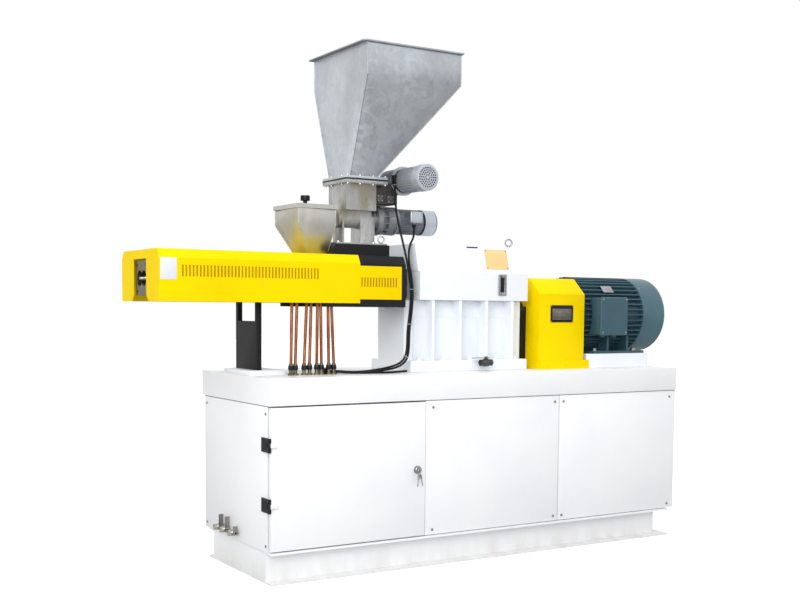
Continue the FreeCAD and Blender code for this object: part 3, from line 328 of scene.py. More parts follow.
def fill(tree, node, inputs):
    """Give a node its inputs: one that is given a socket is linked, any other is set."""
    for name, value in inputs.items():
        if isinstance(value, bpy.types.NodeSocket):
            tree.links.new(value, node.inputs[name])
        else:
            node.inputs[name].default_value = value


def add(tree, kind, settings=None, inputs=None):
    """Add a node with its settings and inputs."""
    made = tree.nodes.new(kind)
    for name, value in (settings or {}).items():
        setattr(made, name, value)
    fill(tree, made, inputs or {})
    return made


def blank(name):
    """A new material with a Principled shader and its output, and the object's coordinates."""
    made = bpy.data.materials.new(name)
    made.use_nodes = True
    tree = made.node_tree
    tree.nodes.clear()
    shader = add(tree, "ShaderNodeBsdfPrincipled")
    add(tree, "ShaderNodeOutputMaterial", inputs={"Surface": shader.outputs["BSDF"]})
    place = add(tree, "ShaderNodeTexCoord").outputs["Object"]
    return made, tree, shader, place


def noise(tree, place, scale, detail=4.0, roughness=0.55, stretch=(1, 1, 1)):
    """A noise pattern, drawn out along an axis where its stretch is below 1."""
    along = add(tree, "ShaderNodeMapping", inputs={"Vector": place, "Scale": stretch}).outputs["Vector"]
    return add(tree, "ShaderNodeTexNoise", inputs={"Vector": along, "Scale": scale, "Detail": detail,
                                                   "Roughness": roughness}).outputs["Fac"]


def product(tree, one, other):
    return add(tree, "ShaderNodeMath", {"operation": "MULTIPLY"}, {0: one, 1: other}).outputs["Value"]


def part_of(tree, vector, axis):
    return add(tree, "ShaderNodeSeparateXYZ", inputs={"Vector": vector}).outputs[axis]


def between(tree, factor, low, high, start=0.0, end=1.0):
    """Map a factor's range to another, held at its ends."""
    return add(tree, "ShaderNodeMapRange", inputs={
        "Value": factor, "From Min": low, "From Max": high, "To Min": start, "To Max": end,
    }).outputs["Result"]


def blend(tree, factor, low, high):
    """Mix two colours, each a hex code or a socket."""
    low, high = (linear(c) if isinstance(c, str) else c for c in (low, high))
    return add(tree, "ShaderNodeMix", {"data_type": "RGBA"},
               {0: factor, 6: low, 7: high}).outputs[2]


def rough_relief(tree, height, strength, distance):
    return add(tree, "ShaderNodeBump", inputs={"Height": height, "Strength": strength,
                                               "Distance": distance}).outputs["Normal"]


# %% [markdown]
# ### Paint
# Powder coat melts into a skin with a faint orange peel: soft, slightly wavy highlights on a flat sheet. The
# real waves are 2 to 3 mm long, too fine to show, so they are drawn about 12 mm long. Enamel sprayed on a
# casting is glossier and shows the cast skin below it.


# %% Paints
def paint(name, colour, shade, roughness, wave=12, relief=0.05, low_tint=None, gloss=0.5):
    """Opaque paint. Shade is the colour where it is thin or rubbed, and the low tint darkens it in streaks
    towards the floor.
    """
    made, tree, shader, place = blank(name)
    cloud = noise(tree, place, 3.5, 5)
    skin = noise(tree, place, 1 / (wave * MM), 2)
    colour_out = blend(tree, between(tree, cloud, 0.42, 0.72), colour, shade)
    if low_tint:
        # darker in streaks towards the floor, over the lowest 110 mm of the machine
        low_down = between(tree, part_of(tree, place, "Z"), 0.0, 0.11, 0.75, 0.0)
        streak = between(tree, noise(tree, place, 14, 6, 0.65, (1, 1, 0.3)), 0.35, 0.7, 0.15, 1.0)
        colour_out = blend(tree, product(tree, low_down, streak), colour_out, low_tint)
    fill(tree, shader, {"Base Color": colour_out, "Specular IOR Level": gloss,
                        "Roughness": between(tree, cloud, 0.3, 0.7, roughness - 0.05, roughness + 0.08),
                        "Normal": rough_relief(tree, skin, relief, 0.002)})
    return made


FINISHES = {
    # on folded sheet: semi-gloss and even, darker in streaks near the floor
    "white_powder_coat": paint("white powder coat", "F3F4F6", "EEEFF2", 0.38, low_tint="D6D4CF"),
    # on castings: a little bluer and glossier, over a coarser skin
    "white_enamel": paint("white enamel", "F0F4F9", "EAEFF5", 0.32, wave=18, relief=0.10),
    # signal yellow: strong and clean, slightly deeper where it is thin
    "yellow_powder_coat": paint("yellow powder coat", "F3D400", "ECC900", 0.52, gloss=0.05),
    # satin, with a faint blue cast
    "black_enamel": paint("black enamel", "101114", "18191C", 0.46, wave=9, relief=0.10, gloss=0.25),
    # dark green-blue on a cast frame: satin over sand-cast skin
    "motor_enamel": paint("motor enamel", "35535E", "3E606C", 0.40, wave=7, relief=0.14, gloss=0.35),
}

# %% [markdown]
# ### Bare metals
# Metals take their look from what they reflect, so a pattern changes their roughness more than their colour:
# rolled and brushed steel has fine lines along one way, a casting is grainy, and zinc grows crystals.


# %% Metals
def metal(name, colour, shade, roughness, grain, stretch=(1, 1, 1), relief=0.05, metallic=1.0, cloud_size=60):
    """A bare metal. Grain is the size in millimetres of its texture, drawn out by stretch."""
    made, tree, shader, place = blank(name)
    cloud = noise(tree, place, 1 / (cloud_size * MM), 5, 0.6)
    fine = noise(tree, place, 1 / (grain * MM), 3, 0.6, stretch)
    mixed = product(tree, cloud, fine)
    fill(tree, shader, {"Base Color": blend(tree, between(tree, mixed, 0.15, 0.40), shade, colour),
                        "Roughness": between(tree, fine, 0.3, 0.7, roughness - 0.07, roughness + 0.10),
                        "Normal": rough_relief(tree, fine, relief, 0.001), "Metallic": metallic})
    return made


def galvanised():
    """Hot-dipped sheet: zinc crystals, each its own grey, with dull clouds, and painted shade where it faces
    down.
    """
    made, tree, shader, place = blank("galvanised sheet")
    wobble = add(tree, "ShaderNodeTexNoise", inputs={"Vector": place, "Scale": 26.0, "Detail": 3.0})
    bent = add(tree, "ShaderNodeVectorMath", {"operation": "MULTIPLY_ADD"},
               {0: wobble.outputs["Color"], 1: (0.03, 0.03, 0.03), 2: place}).outputs["Vector"]
    crystal = add(tree, "ShaderNodeTexVoronoi", inputs={"Vector": bent, "Scale": 48.0})
    shade = add(tree, "ShaderNodeSeparateColor", inputs={"Color": crystal.outputs["Color"]}).outputs["Red"]
    cloud = noise(tree, place, 5.5, 6, 0.62, (1, 1, 0.6))
    speckle = between(tree, noise(tree, place, 90, 3), 0.60, 0.72, 0.0, 0.35)
    grey = blend(tree, between(tree, shade, 0.0, 1.0, 0.0, 0.55), "BCC2C9", "D8DEE4")
    grey = blend(tree, between(tree, cloud, 0.38, 0.66, 0.0, 0.6), grey, "A4A8AD")
    grey = blend(tree, speckle, grey, "DADDE0")
    # painted shade: faces that turn downwards are darkened towards 6F7276
    normal = add(tree, "ShaderNodeNewGeometry").outputs["Normal"]
    lean = part_of(tree, normal, "Z")
    grey = blend(tree, between(tree, lean, -0.30, -0.10, 0.7, 0.0), grey, "6F7276")
    fill(tree, shader, {"Base Color": grey, "Roughness": between(tree, shade, 0.0, 1.0, 0.34, 0.52),
                        "Normal": rough_relief(tree, cloud, 0.08, 0.004), "Metallic": 0.75})
    return made


def stained_steel():
    """The feeder's plates: steel dulled by powder, with beige stains that run down the faces."""
    made, tree, shader, place = blank("dusty steel plate")
    fine = noise(tree, place, 160, 3, 0.6, (1, 1, 0.15))
    stain = noise(tree, place, 11, 5, 0.6, (1, 1, 0.55))
    steel = blend(tree, between(tree, fine, 0.3, 0.7), "A9AAA8", "C0C1C0")
    stained = blend(tree, between(tree, stain, 0.50, 0.64, 0.0, 0.7), steel, "A0947C")
    dark = between(tree, noise(tree, place, 31, 4), 0.60, 0.75, 0.0, 0.5)
    fill(tree, shader, {"Base Color": blend(tree, dark, stained, "7F7A70"),
                        "Roughness": between(tree, stain, 0.4, 0.65, 0.34, 0.56),
                        "Normal": rough_relief(tree, fine, 0.05, 0.001), "Metallic": 0.8})
    return made


def hinge_paint():
    """The door's side of a hinge: black on the cabinet's end, and white where its arm lies on the door."""
    made, tree, shader, place = blank("hinge paint")
    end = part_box("cabinet_panels")[0].x
    on_door = between(tree, part_of(tree, place, "X"), end - 0.5 * MM, end + 0.5 * MM)
    fill(tree, shader, {"Base Color": blend(tree, on_door, "101114", "F3F4F6"), "Roughness": 0.4})
    return made


FINISHES |= {
    # hot-dip galvanised sheet: mottled, semi-matt
    "galvanised_sheet": galvanised(),
    # rolled steel plate, dusty and stained
    "stainless_plate": stained_steel(),
    # turned and milled steel: bright, with fine cutter lines
    "machined_steel": metal("machined steel", "A9A8A6", "8C8A87", 0.28, 4, (1, 1, 0.25)),
    # die-cast aluminium: pale, grainy and almost matt
    "cast_aluminium": metal("cast aluminium", "A8ABAF", "8B8E92", 0.42, 3, relief=0.12, metallic=0.85),
    # drawn copper tube, dulled to orange-brown
    "copper_tube": metal("copper tube", "B9764A", "8C5030", 0.36, 10, (1, 1, 0.1)),
    # nickelled brass valve bodies: pale gold-grey
    "brass_body": metal("nickelled brass", "CFCBC3", "ADA9A0", 0.26, 5),
    # dull grey with brown-yellow chromate
    "zinc_fitting": metal("zinc-plated fitting", "8E8571", "5F5848", 0.40, 6),
    # moulded PVC: matt black, a little grey where it is rubbed
    "cable_sheath": paint("cable sheath", "101114", "18191C", 0.55, wave=6, relief=0.08, gloss=0.25),
}
SATIN_STEEL = metal("satin stainless sheet", "CFCEC9", "C4C3BD", 0.42, 40, (1, 1, 0.3), relief=0.0)
DARK_CASTING = metal("oiled dark casting", "5A5757", "3A3839", 0.46, 4, relief=0.15, metallic=0.7)
WORN_CASTING = metal("worn dark casting", "7C7974", "5A5652", 0.42, 4, relief=0.12, metallic=0.7)
GREY_CASTING = metal("grey painted aluminium", "8B8F97", "7A7E86", 0.40, 6, relief=0.08, metallic=0.55)
PALE_CAP = metal("pale painted cowl", "C4CAD2", "B4BAC3", 0.34, 6, relief=0.03, metallic=0.45)
BLACK_PLASTIC = paint("black moulded plastic", "111114", "1A1A1D", 0.42, wave=8, gloss=0.3)
PLATE_METAL = metal("engraved plate", "8F8B84", "6E6A63", 0.36, 7, (0.15, 1, 1), relief=0.03)
BRASS_PLATE = paint("lacquered brass plate", "F0CF92", "E6BF7C", 0.36, wave=30, relief=0.02)
PALE_LABEL = paint("pale vinyl label", "DCE0E6", "D2D6DD", 0.40, wave=30, relief=0.01)
BRIGHT_ZINC = metal("bright zinc-plated steel", "B9BBBD", "9A9C9F", 0.24, 5)
SEAL_RUBBER = paint("grey seal rubber", "6E6E70", "5F5F62", 0.6, wave=5, relief=0.1)
print("finishes:", len(FINISHES))


# %% Putting a finish on a piece
def dress(piece, slot, material=None, body="root"):
    """Give a piece the slot's finish, or another finish where one is named, and the body it rides on."""
    piece.data.materials.clear()
    piece.data.materials.append(material or FINISHES[slot])
    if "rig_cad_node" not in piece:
        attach(piece, body)
    return piece


def zinc(piece, body="root"):
    return dress(piece, "machined_steel", BRIGHT_ZINC, body)


def plastic(piece):
    return dress(piece, "black_enamel", BLACK_PLASTIC)


def capped(piece):
    return dress(piece, "cast_aluminium", PALE_CAP)


for cable in cables.values():
    dress(cable, "cable_sheath")

# %% [markdown]
# ## Soft edges for the construction
# Folded sheet has a bend radius and castings have rounded arrises, which catch the light. Each flat-sided
# piece of the frame is copied, its loose triangles are merged, and a Bevel modifier rounds the edges that
# turn. The copy then stands for the frame's own piece.


# %% Rounded copies
MERGE, SHARP = 0.02, 30  # millimetres, degrees


def rounded(node, edge):
    """A copy of a frame piece with bevelled edges, in its place. The edge is the bevel's width in mm."""
    piece = frame["nodes"][node].copy()
    piece.data = piece.data.copy()
    piece.parent = None
    for key in list(piece.keys()):
        del piece[key]
    piece.name = f"{node}_finished"
    link(piece)
    start_edit(piece)
    bpy.ops.mesh.customdata_custom_splitnormals_clear()
    bpy.ops.mesh.remove_doubles(threshold=MERGE * MM)
    end_edit()
    bevel = piece.modifiers.new("Soft edges", "BEVEL")
    bevel.width = edge * MM
    bevel.segments = 2
    bevel.limit_method = "ANGLE"
    bevel.angle_limit = math.radians(SHARP)
    bevel.miter_outer = "MITER_ARC"
    apply(piece, bevel)
    smooth(piece, SHARP)
    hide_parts(node)
    body = next(name for name, members in frame["record"]["behaviour"]["bodies"].items() if node in members)
    dress(piece, node_slots[node], OWN_LOOKS.get(node), body)


ROUNDED = {
    "cabinet_panels": 1.0, "front_panels": 1.5, "front_door": 1.5, "deck": 2.5,
    "barrel_support": 1.5, "barrel_support_foot": 1.5, "feed_housing": 4.0,
    "feeder_seat": 2.0, "feeder_stand": 1.0, "feeder_box": 1.0,
    "main_hopper": 0.8, "side_hopper": 0.8, "gearbox_lower_case": 4.0, "gearbox_middle_case": 4.0,
    "gearbox_top_case": 5.0, "coupling_housing": 5.0, "coupling_guard": 1.2, "motor_base": 3.0,
    "motor_terminal_box": 5.0, "door_hinges": 0.8, "door_fittings": 0.6,
}
node_slots = {part["node"]: part["material_slot"] for part in frame["record"]["subparts"]}
OWN_LOOKS = {
    "side_hopper": SATIN_STEEL, "side_hopper_lid": SATIN_STEEL, "agitator_motor": PALE_CAP,
    "agitator_gearbox": DARK_CASTING, "feeder_motor": GREY_CASTING, "door_fittings": hinge_paint(),
    "oil_drain_lever": WORN_CASTING, "barrel": metal("heat-browned steel", "8A8272", "6B6455", 0.40, 6),
}
for node, edge in ROUNDED.items():
    rounded(node, edge)
for node, shown in frame["nodes"].items():
    if not shown.hide_render:
        dress(shown, node_slots[node], OWN_LOOKS.get(node))
print("rounded copies:", len(ROUNDED))

# %% [markdown]
# ## Cabinet
# The cabinet is folded sheet on a frame: button-head screws hold its panels, a rubber strip seals the gap
# under the deck, and the door has a cam lock with its keys left in it. One screw is turned and copied.


# %% Places on the frame, and screws
def corners(node):
    """The lowest and highest corner of a frame piece, in millimetres."""
    low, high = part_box(node)
    return low / MM, high / MM


def corner_spots(xs, y, zs):
    """Matrices for screws that face the front at the corners of a rectangle."""
    return [facing((x, y, z), "-y") for x in xs for z in zs]


def button_screw(radius=6.0):
    """A round-headed socket screw, modelled at the origin with its head along Z."""
    return turned("button_screw", [(0, radius), (0.25 * radius, radius), (0.5 * radius, 0.6 * radius),
                                   (0.5 * radius, 0.4 * radius), (0.2 * radius, 0.36 * radius)], sides=16)


def hex_bolt(radius, height):
    """A bolt's hexagon head on a washer, modelled at the origin with its head along Z."""
    washer = turned("washer", [(0, 1.25 * radius), (0.18 * radius, 1.25 * radius)], sides=24)
    head = turned("head", [(0.18 * radius, radius), (height - 0.15 * radius, radius),
                           (height, 0.8 * radius)], sides=6)
    return join("hex_bolt", [washer, head])


panels_low, panels_high = corners("cabinet_panels")
front_low, front_high = corners("front_panels")
deck_low, deck_high = corners("deck")
door_low, door_high = corners("front_door")
SCREW_INSET, SCREW_TOP_INSET, SCREW_FRONT_INSET = 24, 27, 11
BACK_SCREWS = (-1000, -500, 0, 500, 1000)
screw_levels = (panels_low.z + SCREW_INSET, panels_high.z - SCREW_TOP_INSET)
screw_depths = (panels_low.y + SCREW_FRONT_INSET, panels_high.y - SCREW_INSET)
seam = -door_high.x
spots = [facing((panels_low.x, y, z), "-x") for y in screw_depths for z in screw_levels]
spots += [facing((panels_high.x, y, z), "x") for y in screw_depths for z in screw_levels]
spots += corner_spots((front_low.x + 34, seam - 28, seam + 20, front_high.x - 38), front_low.y, screw_levels)
spots += [facing((x, panels_high.y, z), "y") for x in BACK_SCREWS for z in screw_levels]
zinc(repeat("panel_screws", button_screw(), spots))

# %% Seal under the deck
SEAL, SEAL_INSET, SEAL_EDGE = 2.8, 1, 0.3
seal_left, seal_right = panels_low.x + SEAL_INSET, panels_high.x - SEAL_INSET
seal_back = panels_high.y - SEAL_INSET
strips = [((seal_left, front_low.y + 1), (seal_right, front_low.y + 6)),
          ((seal_left, seal_back - SEAL), (seal_right, seal_back))]
for x in (seal_left, seal_right - SEAL):
    strips.append(((x, front_low.y + 6.5), (x + SEAL, seal_back - SEAL - 0.5)))
seal = [block("seal", (*low, panels_high.z), (*high, deck_low.z), SEAL_EDGE) for low, high in strips]
dress(join("deck_seal", seal), "black_enamel", SEAL_RUBBER)

# %% Door lock and keys
LOCK_INSET, KEY_SHEET, BOW_HALF = 38.5, 2.2, 8
lock_x = door_high.x - LOCK_INSET
lock_level = (panels_low.z + panels_high.z) / 2
bezel = turned("lock_bezel", [(0, 17), (2, 17), (3, 15.5), (3, 14.4), (11.5, 14.4), (12.6, 13), (12.6, 5),
                              (11, 5)], (lock_x, door_low.y, lock_level), "-y")
bow_front = door_low.y - 22


def hanging_key():
    """A flat key that hangs by its bow, its ring hole at the origin."""
    bow = block("key", (-KEY_SHEET / 2, -BOW_HALF, -16), (KEY_SHEET / 2, BOW_HALF, 3), 1.0)
    blade = block("key", (-KEY_SHEET / 2, -3.2, -46), (KEY_SHEET / 2, 3.2, -15), 0.8)
    return join("key", [bow, blade])


def torus(name, place, turn, ring, wire):
    """A ring of round wire at a place in millimetres, turned by Euler angles in degrees."""
    deselect()
    bpy.ops.mesh.primitive_torus_add(location=Vector(place) * MM, rotation=[math.radians(a) for a in turn],
                                     major_radius=ring * MM, minor_radius=wire * MM,
                                     major_segments=32, minor_segments=10)
    return smooth(settle(bpy.context.object, name), 60)


key_in_lock = block("key_in_lock", (lock_x - KEY_SHEET / 2, bow_front, lock_level - BOW_HALF),
                    (lock_x + KEY_SHEET / 2, door_low.y - 11, lock_level + BOW_HALF), 1.0)
ring_place = Vector((lock_x, bow_front + 4, lock_level - 12))
key_ring = torus("key_ring", ring_place, (0, 90, 0), 9, 0.8)
spares = repeat("spare_keys", hanging_key(), [at(ring_place - Vector((3, 0, 8))) @ spin(8, "Y"),
                                              at(ring_place + Vector((3, -2, -8))) @ spin(-14, "Y")])
for piece in (bezel, key_in_lock, key_ring, spares):
    zinc(piece, "front_door")
print("cabinet details done")

# %% [markdown]
# ## Ball valves
# A small brass ball valve is a turned body, swollen round its ball, between two hexagons with a threaded
# mouth. A disc extruded and resized ring by ring gives each of these, the hexagons with six sides.

# %% Valves
VALVE_LENGTH, STEM_INSET = 42, 24
WATER_VALVES = (123, 60, -21)
valve_level = panels_low.z + 34


def valve_stem(reach, place, axis):
    """The stem's collar, the stem through the lever, and its nut, out from the valve's axis."""
    post = turned("stem", [(0, 8), (reach - 7.1, 8), (reach - 7.1, 5), (reach, 5)], place, axis, 24)
    nut = turned("stem_nut", [(reach - 4, 7.6), (reach - 0.6, 7.6), (reach, 6.4)], place, axis, 6)
    return [post, nut]


parts = []
for y in WATER_VALVES:
    start = (panels_low.x, y, valve_level)
    parts += [turned("body", [(0, 10), (12, 10), (14, 12.4), (18, 13.2), (25, 13.2), (29, 12.4), (31, 10.4),
                              (40, 10.4)], start, "-x", 28),
              turned("inner_hex", [(1, 12.4), (2, 13.4), (9, 13.4), (10, 12.4)], start, "-x", 6),
              turned("outer_hex", [(31, 12.4), (32, 13.4), (41, 13.4), (VALVE_LENGTH, 12.4),
                                   (VALVE_LENGTH, 7.6), (33, 7.6)], start, "-x", 6)]
    parts += valve_stem(21.6, (panels_low.x - VALVE_LENGTH + STEM_INSET, y, valve_level), "-y")
valves = join("water_valves", parts)
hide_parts("ball_valves")
dress(valves, "brass_body")

lower_low, lower_high = corners("gearbox_lower_case")
drain_x, drain_y, drain_level = 7, lower_low.y - 27, deck_high.z + 36
drain_start = (drain_x, drain_y, drain_level)
drain = [turned("body", [(0, 12), (14, 12), (17, 15), (22, 16.4), (40, 16.4), (45, 15), (48, 12), (62, 12)],
                drain_start, "x", 28),
         *(turned("hex", [(end, 14), (end + 1, 15.4), (end + 11, 15.4), (end + 12, 14)], drain_start, "x", 6)
           for end in (0, 50)),
         turned("pipe", [(0, 8), (27, 8)], (drain_x + 46, drain_y, drain_level), "y", 24)]
drain += valve_stem(26.1, (drain_x + 31, drain_y, drain_level), "z")
dress(join("drain_valve", drain), "zinc_fitting", DARK_CASTING)
print("valves done")

# %% [markdown]
# ## Barrel cover and feed section
# The ventilation slots are cut right through the yellow sheet, and a second, darker yellow sheet stands close
# behind them as painted shade, so that they read as a darker yellow band. The label's place holds a bare
# plate.

# %% Painted shade behind the slots, and the bare label
cover_low, cover_high = corners("barrel_cover")
feed_low, feed_high = corners("feed_vent_panel")
SLOTS_LOW, SLOTS_TALL, SHADE_SHEET_MARGIN = cover_high.z - 101, 42, 6
slot_shade = block("slot_shade_sheet", (cover_low.x + 80, cover_low.y + 3.2, SLOTS_LOW - SHADE_SHEET_MARGIN),
              (cover_high.x - 178, cover_low.y + 4.4, SLOTS_LOW + SLOTS_TALL + SHADE_SHEET_MARGIN), 0.3)
vent_shade_sheet = block("vent_shade_sheet", (feed_low.x + 4, feed_high.y - 2.6, feed_low.z + 46),
                   (feed_low.x + 178, feed_high.y - 0.2, feed_low.z + 92), 0.2)
# painted shade: a darkened yellow that stands for the shade inside the cover behind the slots
SHADED_YELLOW = paint("shaded yellow sheet", "B89208", "AC8606", 0.6, gloss=0.1)
for piece in (slot_shade, vent_shade_sheet):
    dress(piece, "yellow_powder_coat", SHADED_YELLOW)
label = block("bare_label", (cover_low.x + 5, cover_low.y - 0.8, cover_high.z - 113),
              (cover_low.x + 68, cover_low.y + 0.2, cover_high.z - 34), 0.3)
dress(label, "white_enamel", PALE_LABEL)

# %% [markdown]
# ## Feeder, its drives and the hoppers
# The feeder is a welded trough with an auger, driven by a small geared motor, and an agitator drive hangs
# above it on a dark worm gearbox. Ribs, bolts and grilles are each modelled once and copied round an axis.


# %% Grilles, bars and seams
def grille(name, place, axis, radius, rings, hole, sheet=1.6):
    """A round plate with rings of holes, (radius, count) each, and a black disc close behind it: painted shade
    seen through the holes.
    """
    plate = turned(name, [(0.4, radius), (sheet, radius), (sheet + 0.4, radius - 0.5)], sides=48)
    spots = [matrix for ring, count in rings for matrix in ring_of(count, ring, (0, 0, -2), "z")]
    drill(plate, repeat("cutters", turned("cutter", [(0, hole), (sheet + 6, hole)], sides=8), spots))
    # painted shade: a black disc that darkens what is seen through the holes
    back = turned(f"{name}_shade", [(0, radius - 1), (0.3, radius - 1)], sides=48)
    for piece in (plate, back):
        piece.data.transform(facing(place, axis))
    plastic(back)
    return plate


def bar(name, start, end, radius, sides=10):
    """A round bar between two points in millimetres."""
    start, end = Vector(start), Vector(end)
    piece = turned(name, [(0, radius), ((end - start).length, radius)], sides=sides)
    turn = (end - start).to_track_quat("Z", "Y").to_matrix().to_4x4()
    piece.data.transform(at(start) @ turn)
    return piece


def corner_seams(name, lines, halves, levels, radius):
    """Welds up a hopper's four corners: sloping from its throat to its shoulder, and then upright.

    The lines are (throat, top) pairs in X, and the halves are the throat's and the top's in Y.
    """
    (throat_half, top_half), (throat_level, shoulder_level, end_level) = halves, levels
    seams = []
    for side in (-1, 1):
        for throat_x, top_x in lines:
            shoulder = (top_x, side * top_half, shoulder_level)
            seams.append(bar("seam", (throat_x, side * throat_half, throat_level), shoulder, radius))
            seams.append(bar("seam", shoulder, (top_x, side * top_half, end_level), radius))
    return join(name, seams)


# %% Hopper seams, flange bolts and the side hopper's knob
hopper_low, hopper_high = corners("main_hopper")
LIP, FLANGE, SLOPE_RISE = 10, 15, 383
THROAT_LEFT, THROAT_RIGHT, THROAT_HALF = -582, -454, 91
throat_low = hopper_low.z + FLANGE
dress(corner_seams("hopper_seams", ((THROAT_LEFT, THROAT_LEFT), (THROAT_RIGHT, hopper_high.x - LIP)),
                   (THROAT_HALF, hopper_high.y - LIP),
                   (throat_low, throat_low + SLOPE_RISE, hopper_high.z - 3), 2.2), "galvanised_sheet")
FLANGE_RIGHT, FLANGE_HALF, GASKET_OVER = -411, 103, 0.8
flange_left = corners("feeder_box")[0].x
plastic(block("flange_gasket", (flange_left - GASKET_OVER, -FLANGE_HALF - GASKET_OVER, hopper_low.z - 1.5),
              (FLANGE_RIGHT + GASKET_OVER, FLANGE_HALF + GASKET_OVER, hopper_low.z + 5), 0.6))
RIM = 4.2
rim_left, rim_front = hopper_low.x + RIM, hopper_low.y + RIM
rim_right, rim_back, rim_level = hopper_high.x - RIM, hopper_high.y - RIM, hopper_high.z - 4.4
rim_corners = [(x, y, rim_level) for x, y in ((rim_left, rim_front), (rim_right, rim_front),
                                              (rim_right, rim_back), (rim_left, rim_back))]
rims = [bar("rim", rim_corners[n - 1], rim_corners[n], RIM, 12) for n in range(4)]
dress(join("hopper_rim", rims), "galvanised_sheet")
# two rows of bolts along the flange's sides, and a pair at each end
FLANGE_BOLTS = (((-597, -540, -478, -421), 97.5), ((-597, -424), 45))
flange_places = [(x, side * y, throat_low) for row, y in FLANGE_BOLTS for x in row for side in (-1, 1)]
zinc(repeat("flange_bolts", hex_bolt(4.2, 4.5), flange_places))
zinc(repeat("flange_nuts", hex_bolt(4.2, 5.0),
            [at((x, y, hopper_low.z - FLANGE)) @ spin(180, "X") for x, y, _ in flange_places]))

lid_low, lid_high = corners("side_hopper_lid")
KNOB_TALL = 42
lid_top = lid_high.z - KNOB_TALL
knob = turned("lid_knob", [(0, 12), (2, 11), (4, 8.7), (19, 8.7), (20, 14), (21, 18.6), (24, 19.2),
                           (38, 19.2), (41, 18.4), (KNOB_TALL + 0.8, 15)],
              ((lid_low.x + lid_high.x) / 2, 0, lid_top))
dress(knob, "black_enamel")
side_low, side_high = corners("side_hopper")
SIDE_THROAT_LEFT, SIDE_THROAT_RIGHT, SIDE_THROAT_HALF, SIDE_SLOPE = -759, -672, 61, 120
dress(corner_seams("side_hopper_seams", ((SIDE_THROAT_LEFT, side_low.x), (SIDE_THROAT_RIGHT, side_high.x)),
                   (SIDE_THROAT_HALF, side_high.y), (side_low.z, side_low.z + SIDE_SLOPE, lid_top - 3), 1.3),
      "stainless_plate", SATIN_STEEL)

# %% Eyebolt and stand bolts
stand_low, stand_high = corners("feeder_stand")
PLATE = 7
plate_top = stand_low.z + PLATE


def eyebolt(name, place, ring, wire):
    """A lifting eye: a forged ring on a collar."""
    x, y, z = place
    eye = torus("eye", (x, y, z + ring + wire + 3), (0, 90, 60), ring, wire)
    foot = turned("foot", [(0, 1.5 * wire + 3), (3, 1.5 * wire + 3), (5, wire + 1), (8, wire + 1)],
                  place, sides=24)
    return join(name, [eye, foot])


zinc(eyebolt("feeder_eyebolt", (-418, -62, plate_top), 13, 3))
zinc(repeat("stand_bolts", hex_bolt(6.5, 6), [(x, y, plate_top) for x in (stand_low.x + 14, stand_high.x - 60)
                                              for y in (stand_low.y + 12, stand_high.y - 12)]))

# %% Feeder's geared motor
gear_low, gear_high = corners("feeder_gearbox")
motor_low, motor_high = corners("feeder_motor")
COWL, SMALL_RINGS = 60, ((10, 6), (20, 12), (29.5, 18), (39, 24))
LID_LEFT, LID_RIGHT = -290, -230
auger_level = (gear_low.z + gear_high.z) / 2
auger_axis = (0, 0, auger_level)
cowl_left = motor_high.x - COWL
dress(repeat("cone_ribs", block("rib", (gear_low.x + 31, -2, 40), (gear_low.x + 66, 2, 60), 1.0),
             around("X", 12, auger_axis, 15)), "cast_aluminium")
zinc(repeat("drive_flange_bolts", hex_bolt(4.5, 4.5),
            ring_of(8, 55, (gear_low.x + 12, 0, auger_level), "-x", 22.5)))
gear_rim = turned("gear_rim", [(0, 56), (0, 59.5), (1, 60.2), (8, 60.2), (9, 59.5), (9, 56)],
                  (gear_high.x - 16, 0, auger_level), "x", 56)
dress(gear_rim, "cast_aluminium", BRIGHT_ZINC)
dress(repeat("gear_case_ribs", block("rib", (gear_low.x + 66, -1.6, 54), (gear_high.x - 17, 1.6, 59.6), 0.6),
             around("X", 20, auger_axis)), "cast_aluminium")
dress(repeat("feeder_motor_fins", block("fin", (gear_high.x + 4, -1.1, 47), (cowl_left - 6, 1.1, 53.4), 0.5),
             around("X", 28, auger_axis, 6)), "cast_aluminium", GREY_CASTING)
plastic(turned("feeder_motor_band", [(0, 50), (0, 54.6), (7, 54.6), (7, 50)],
               (cowl_left - 6, 0, auger_level), "x", 48))
capped(turned("feeder_motor_cowl", [(0, 53), (0, 54.8), (52, 54.8), (58, 53), (COWL + 1, 49), (COWL + 1, 45),
                                    (COWL + 0.2, 45)], (cowl_left, 0, auger_level), "x", 56))
capped(grille("feeder_motor_grille", (motor_high.x + 0.3, 0, auger_level), "x", 45, SMALL_RINGS, 3.4))
capped(block("feeder_terminal_lid", (LID_LEFT, motor_low.y - 4, auger_level - 8),
             (LID_RIGHT, motor_low.y + 5, auger_level + 39), 4.0, 3))
zinc(repeat("feeder_lid_screws", button_screw(2.6),
            corner_spots((LID_LEFT + 7, LID_RIGHT - 7), motor_low.y - 4,
                         (auger_level - 1.5, auger_level + 32.5))))

# %% Agitator's worm gearbox and motor
worm_low, worm_high = corners("agitator_gearbox")
cowl_end = corners("agitator_motor")[0].y
CASE_RADIUS, STIRRER_COWL = 54, 46
stirrer_x, stirrer_level = worm_high.x - CASE_RADIUS, worm_high.z - CASE_RADIUS
rounded("agitator_gearbox", 3.0)


def on_stirrer(name, profile, y, sides=56):
    """A piece turned on the agitator motor's axis, which comes towards the front from y."""
    return turned(name, profile, (stirrer_x, y, stirrer_level), "-y", sides)


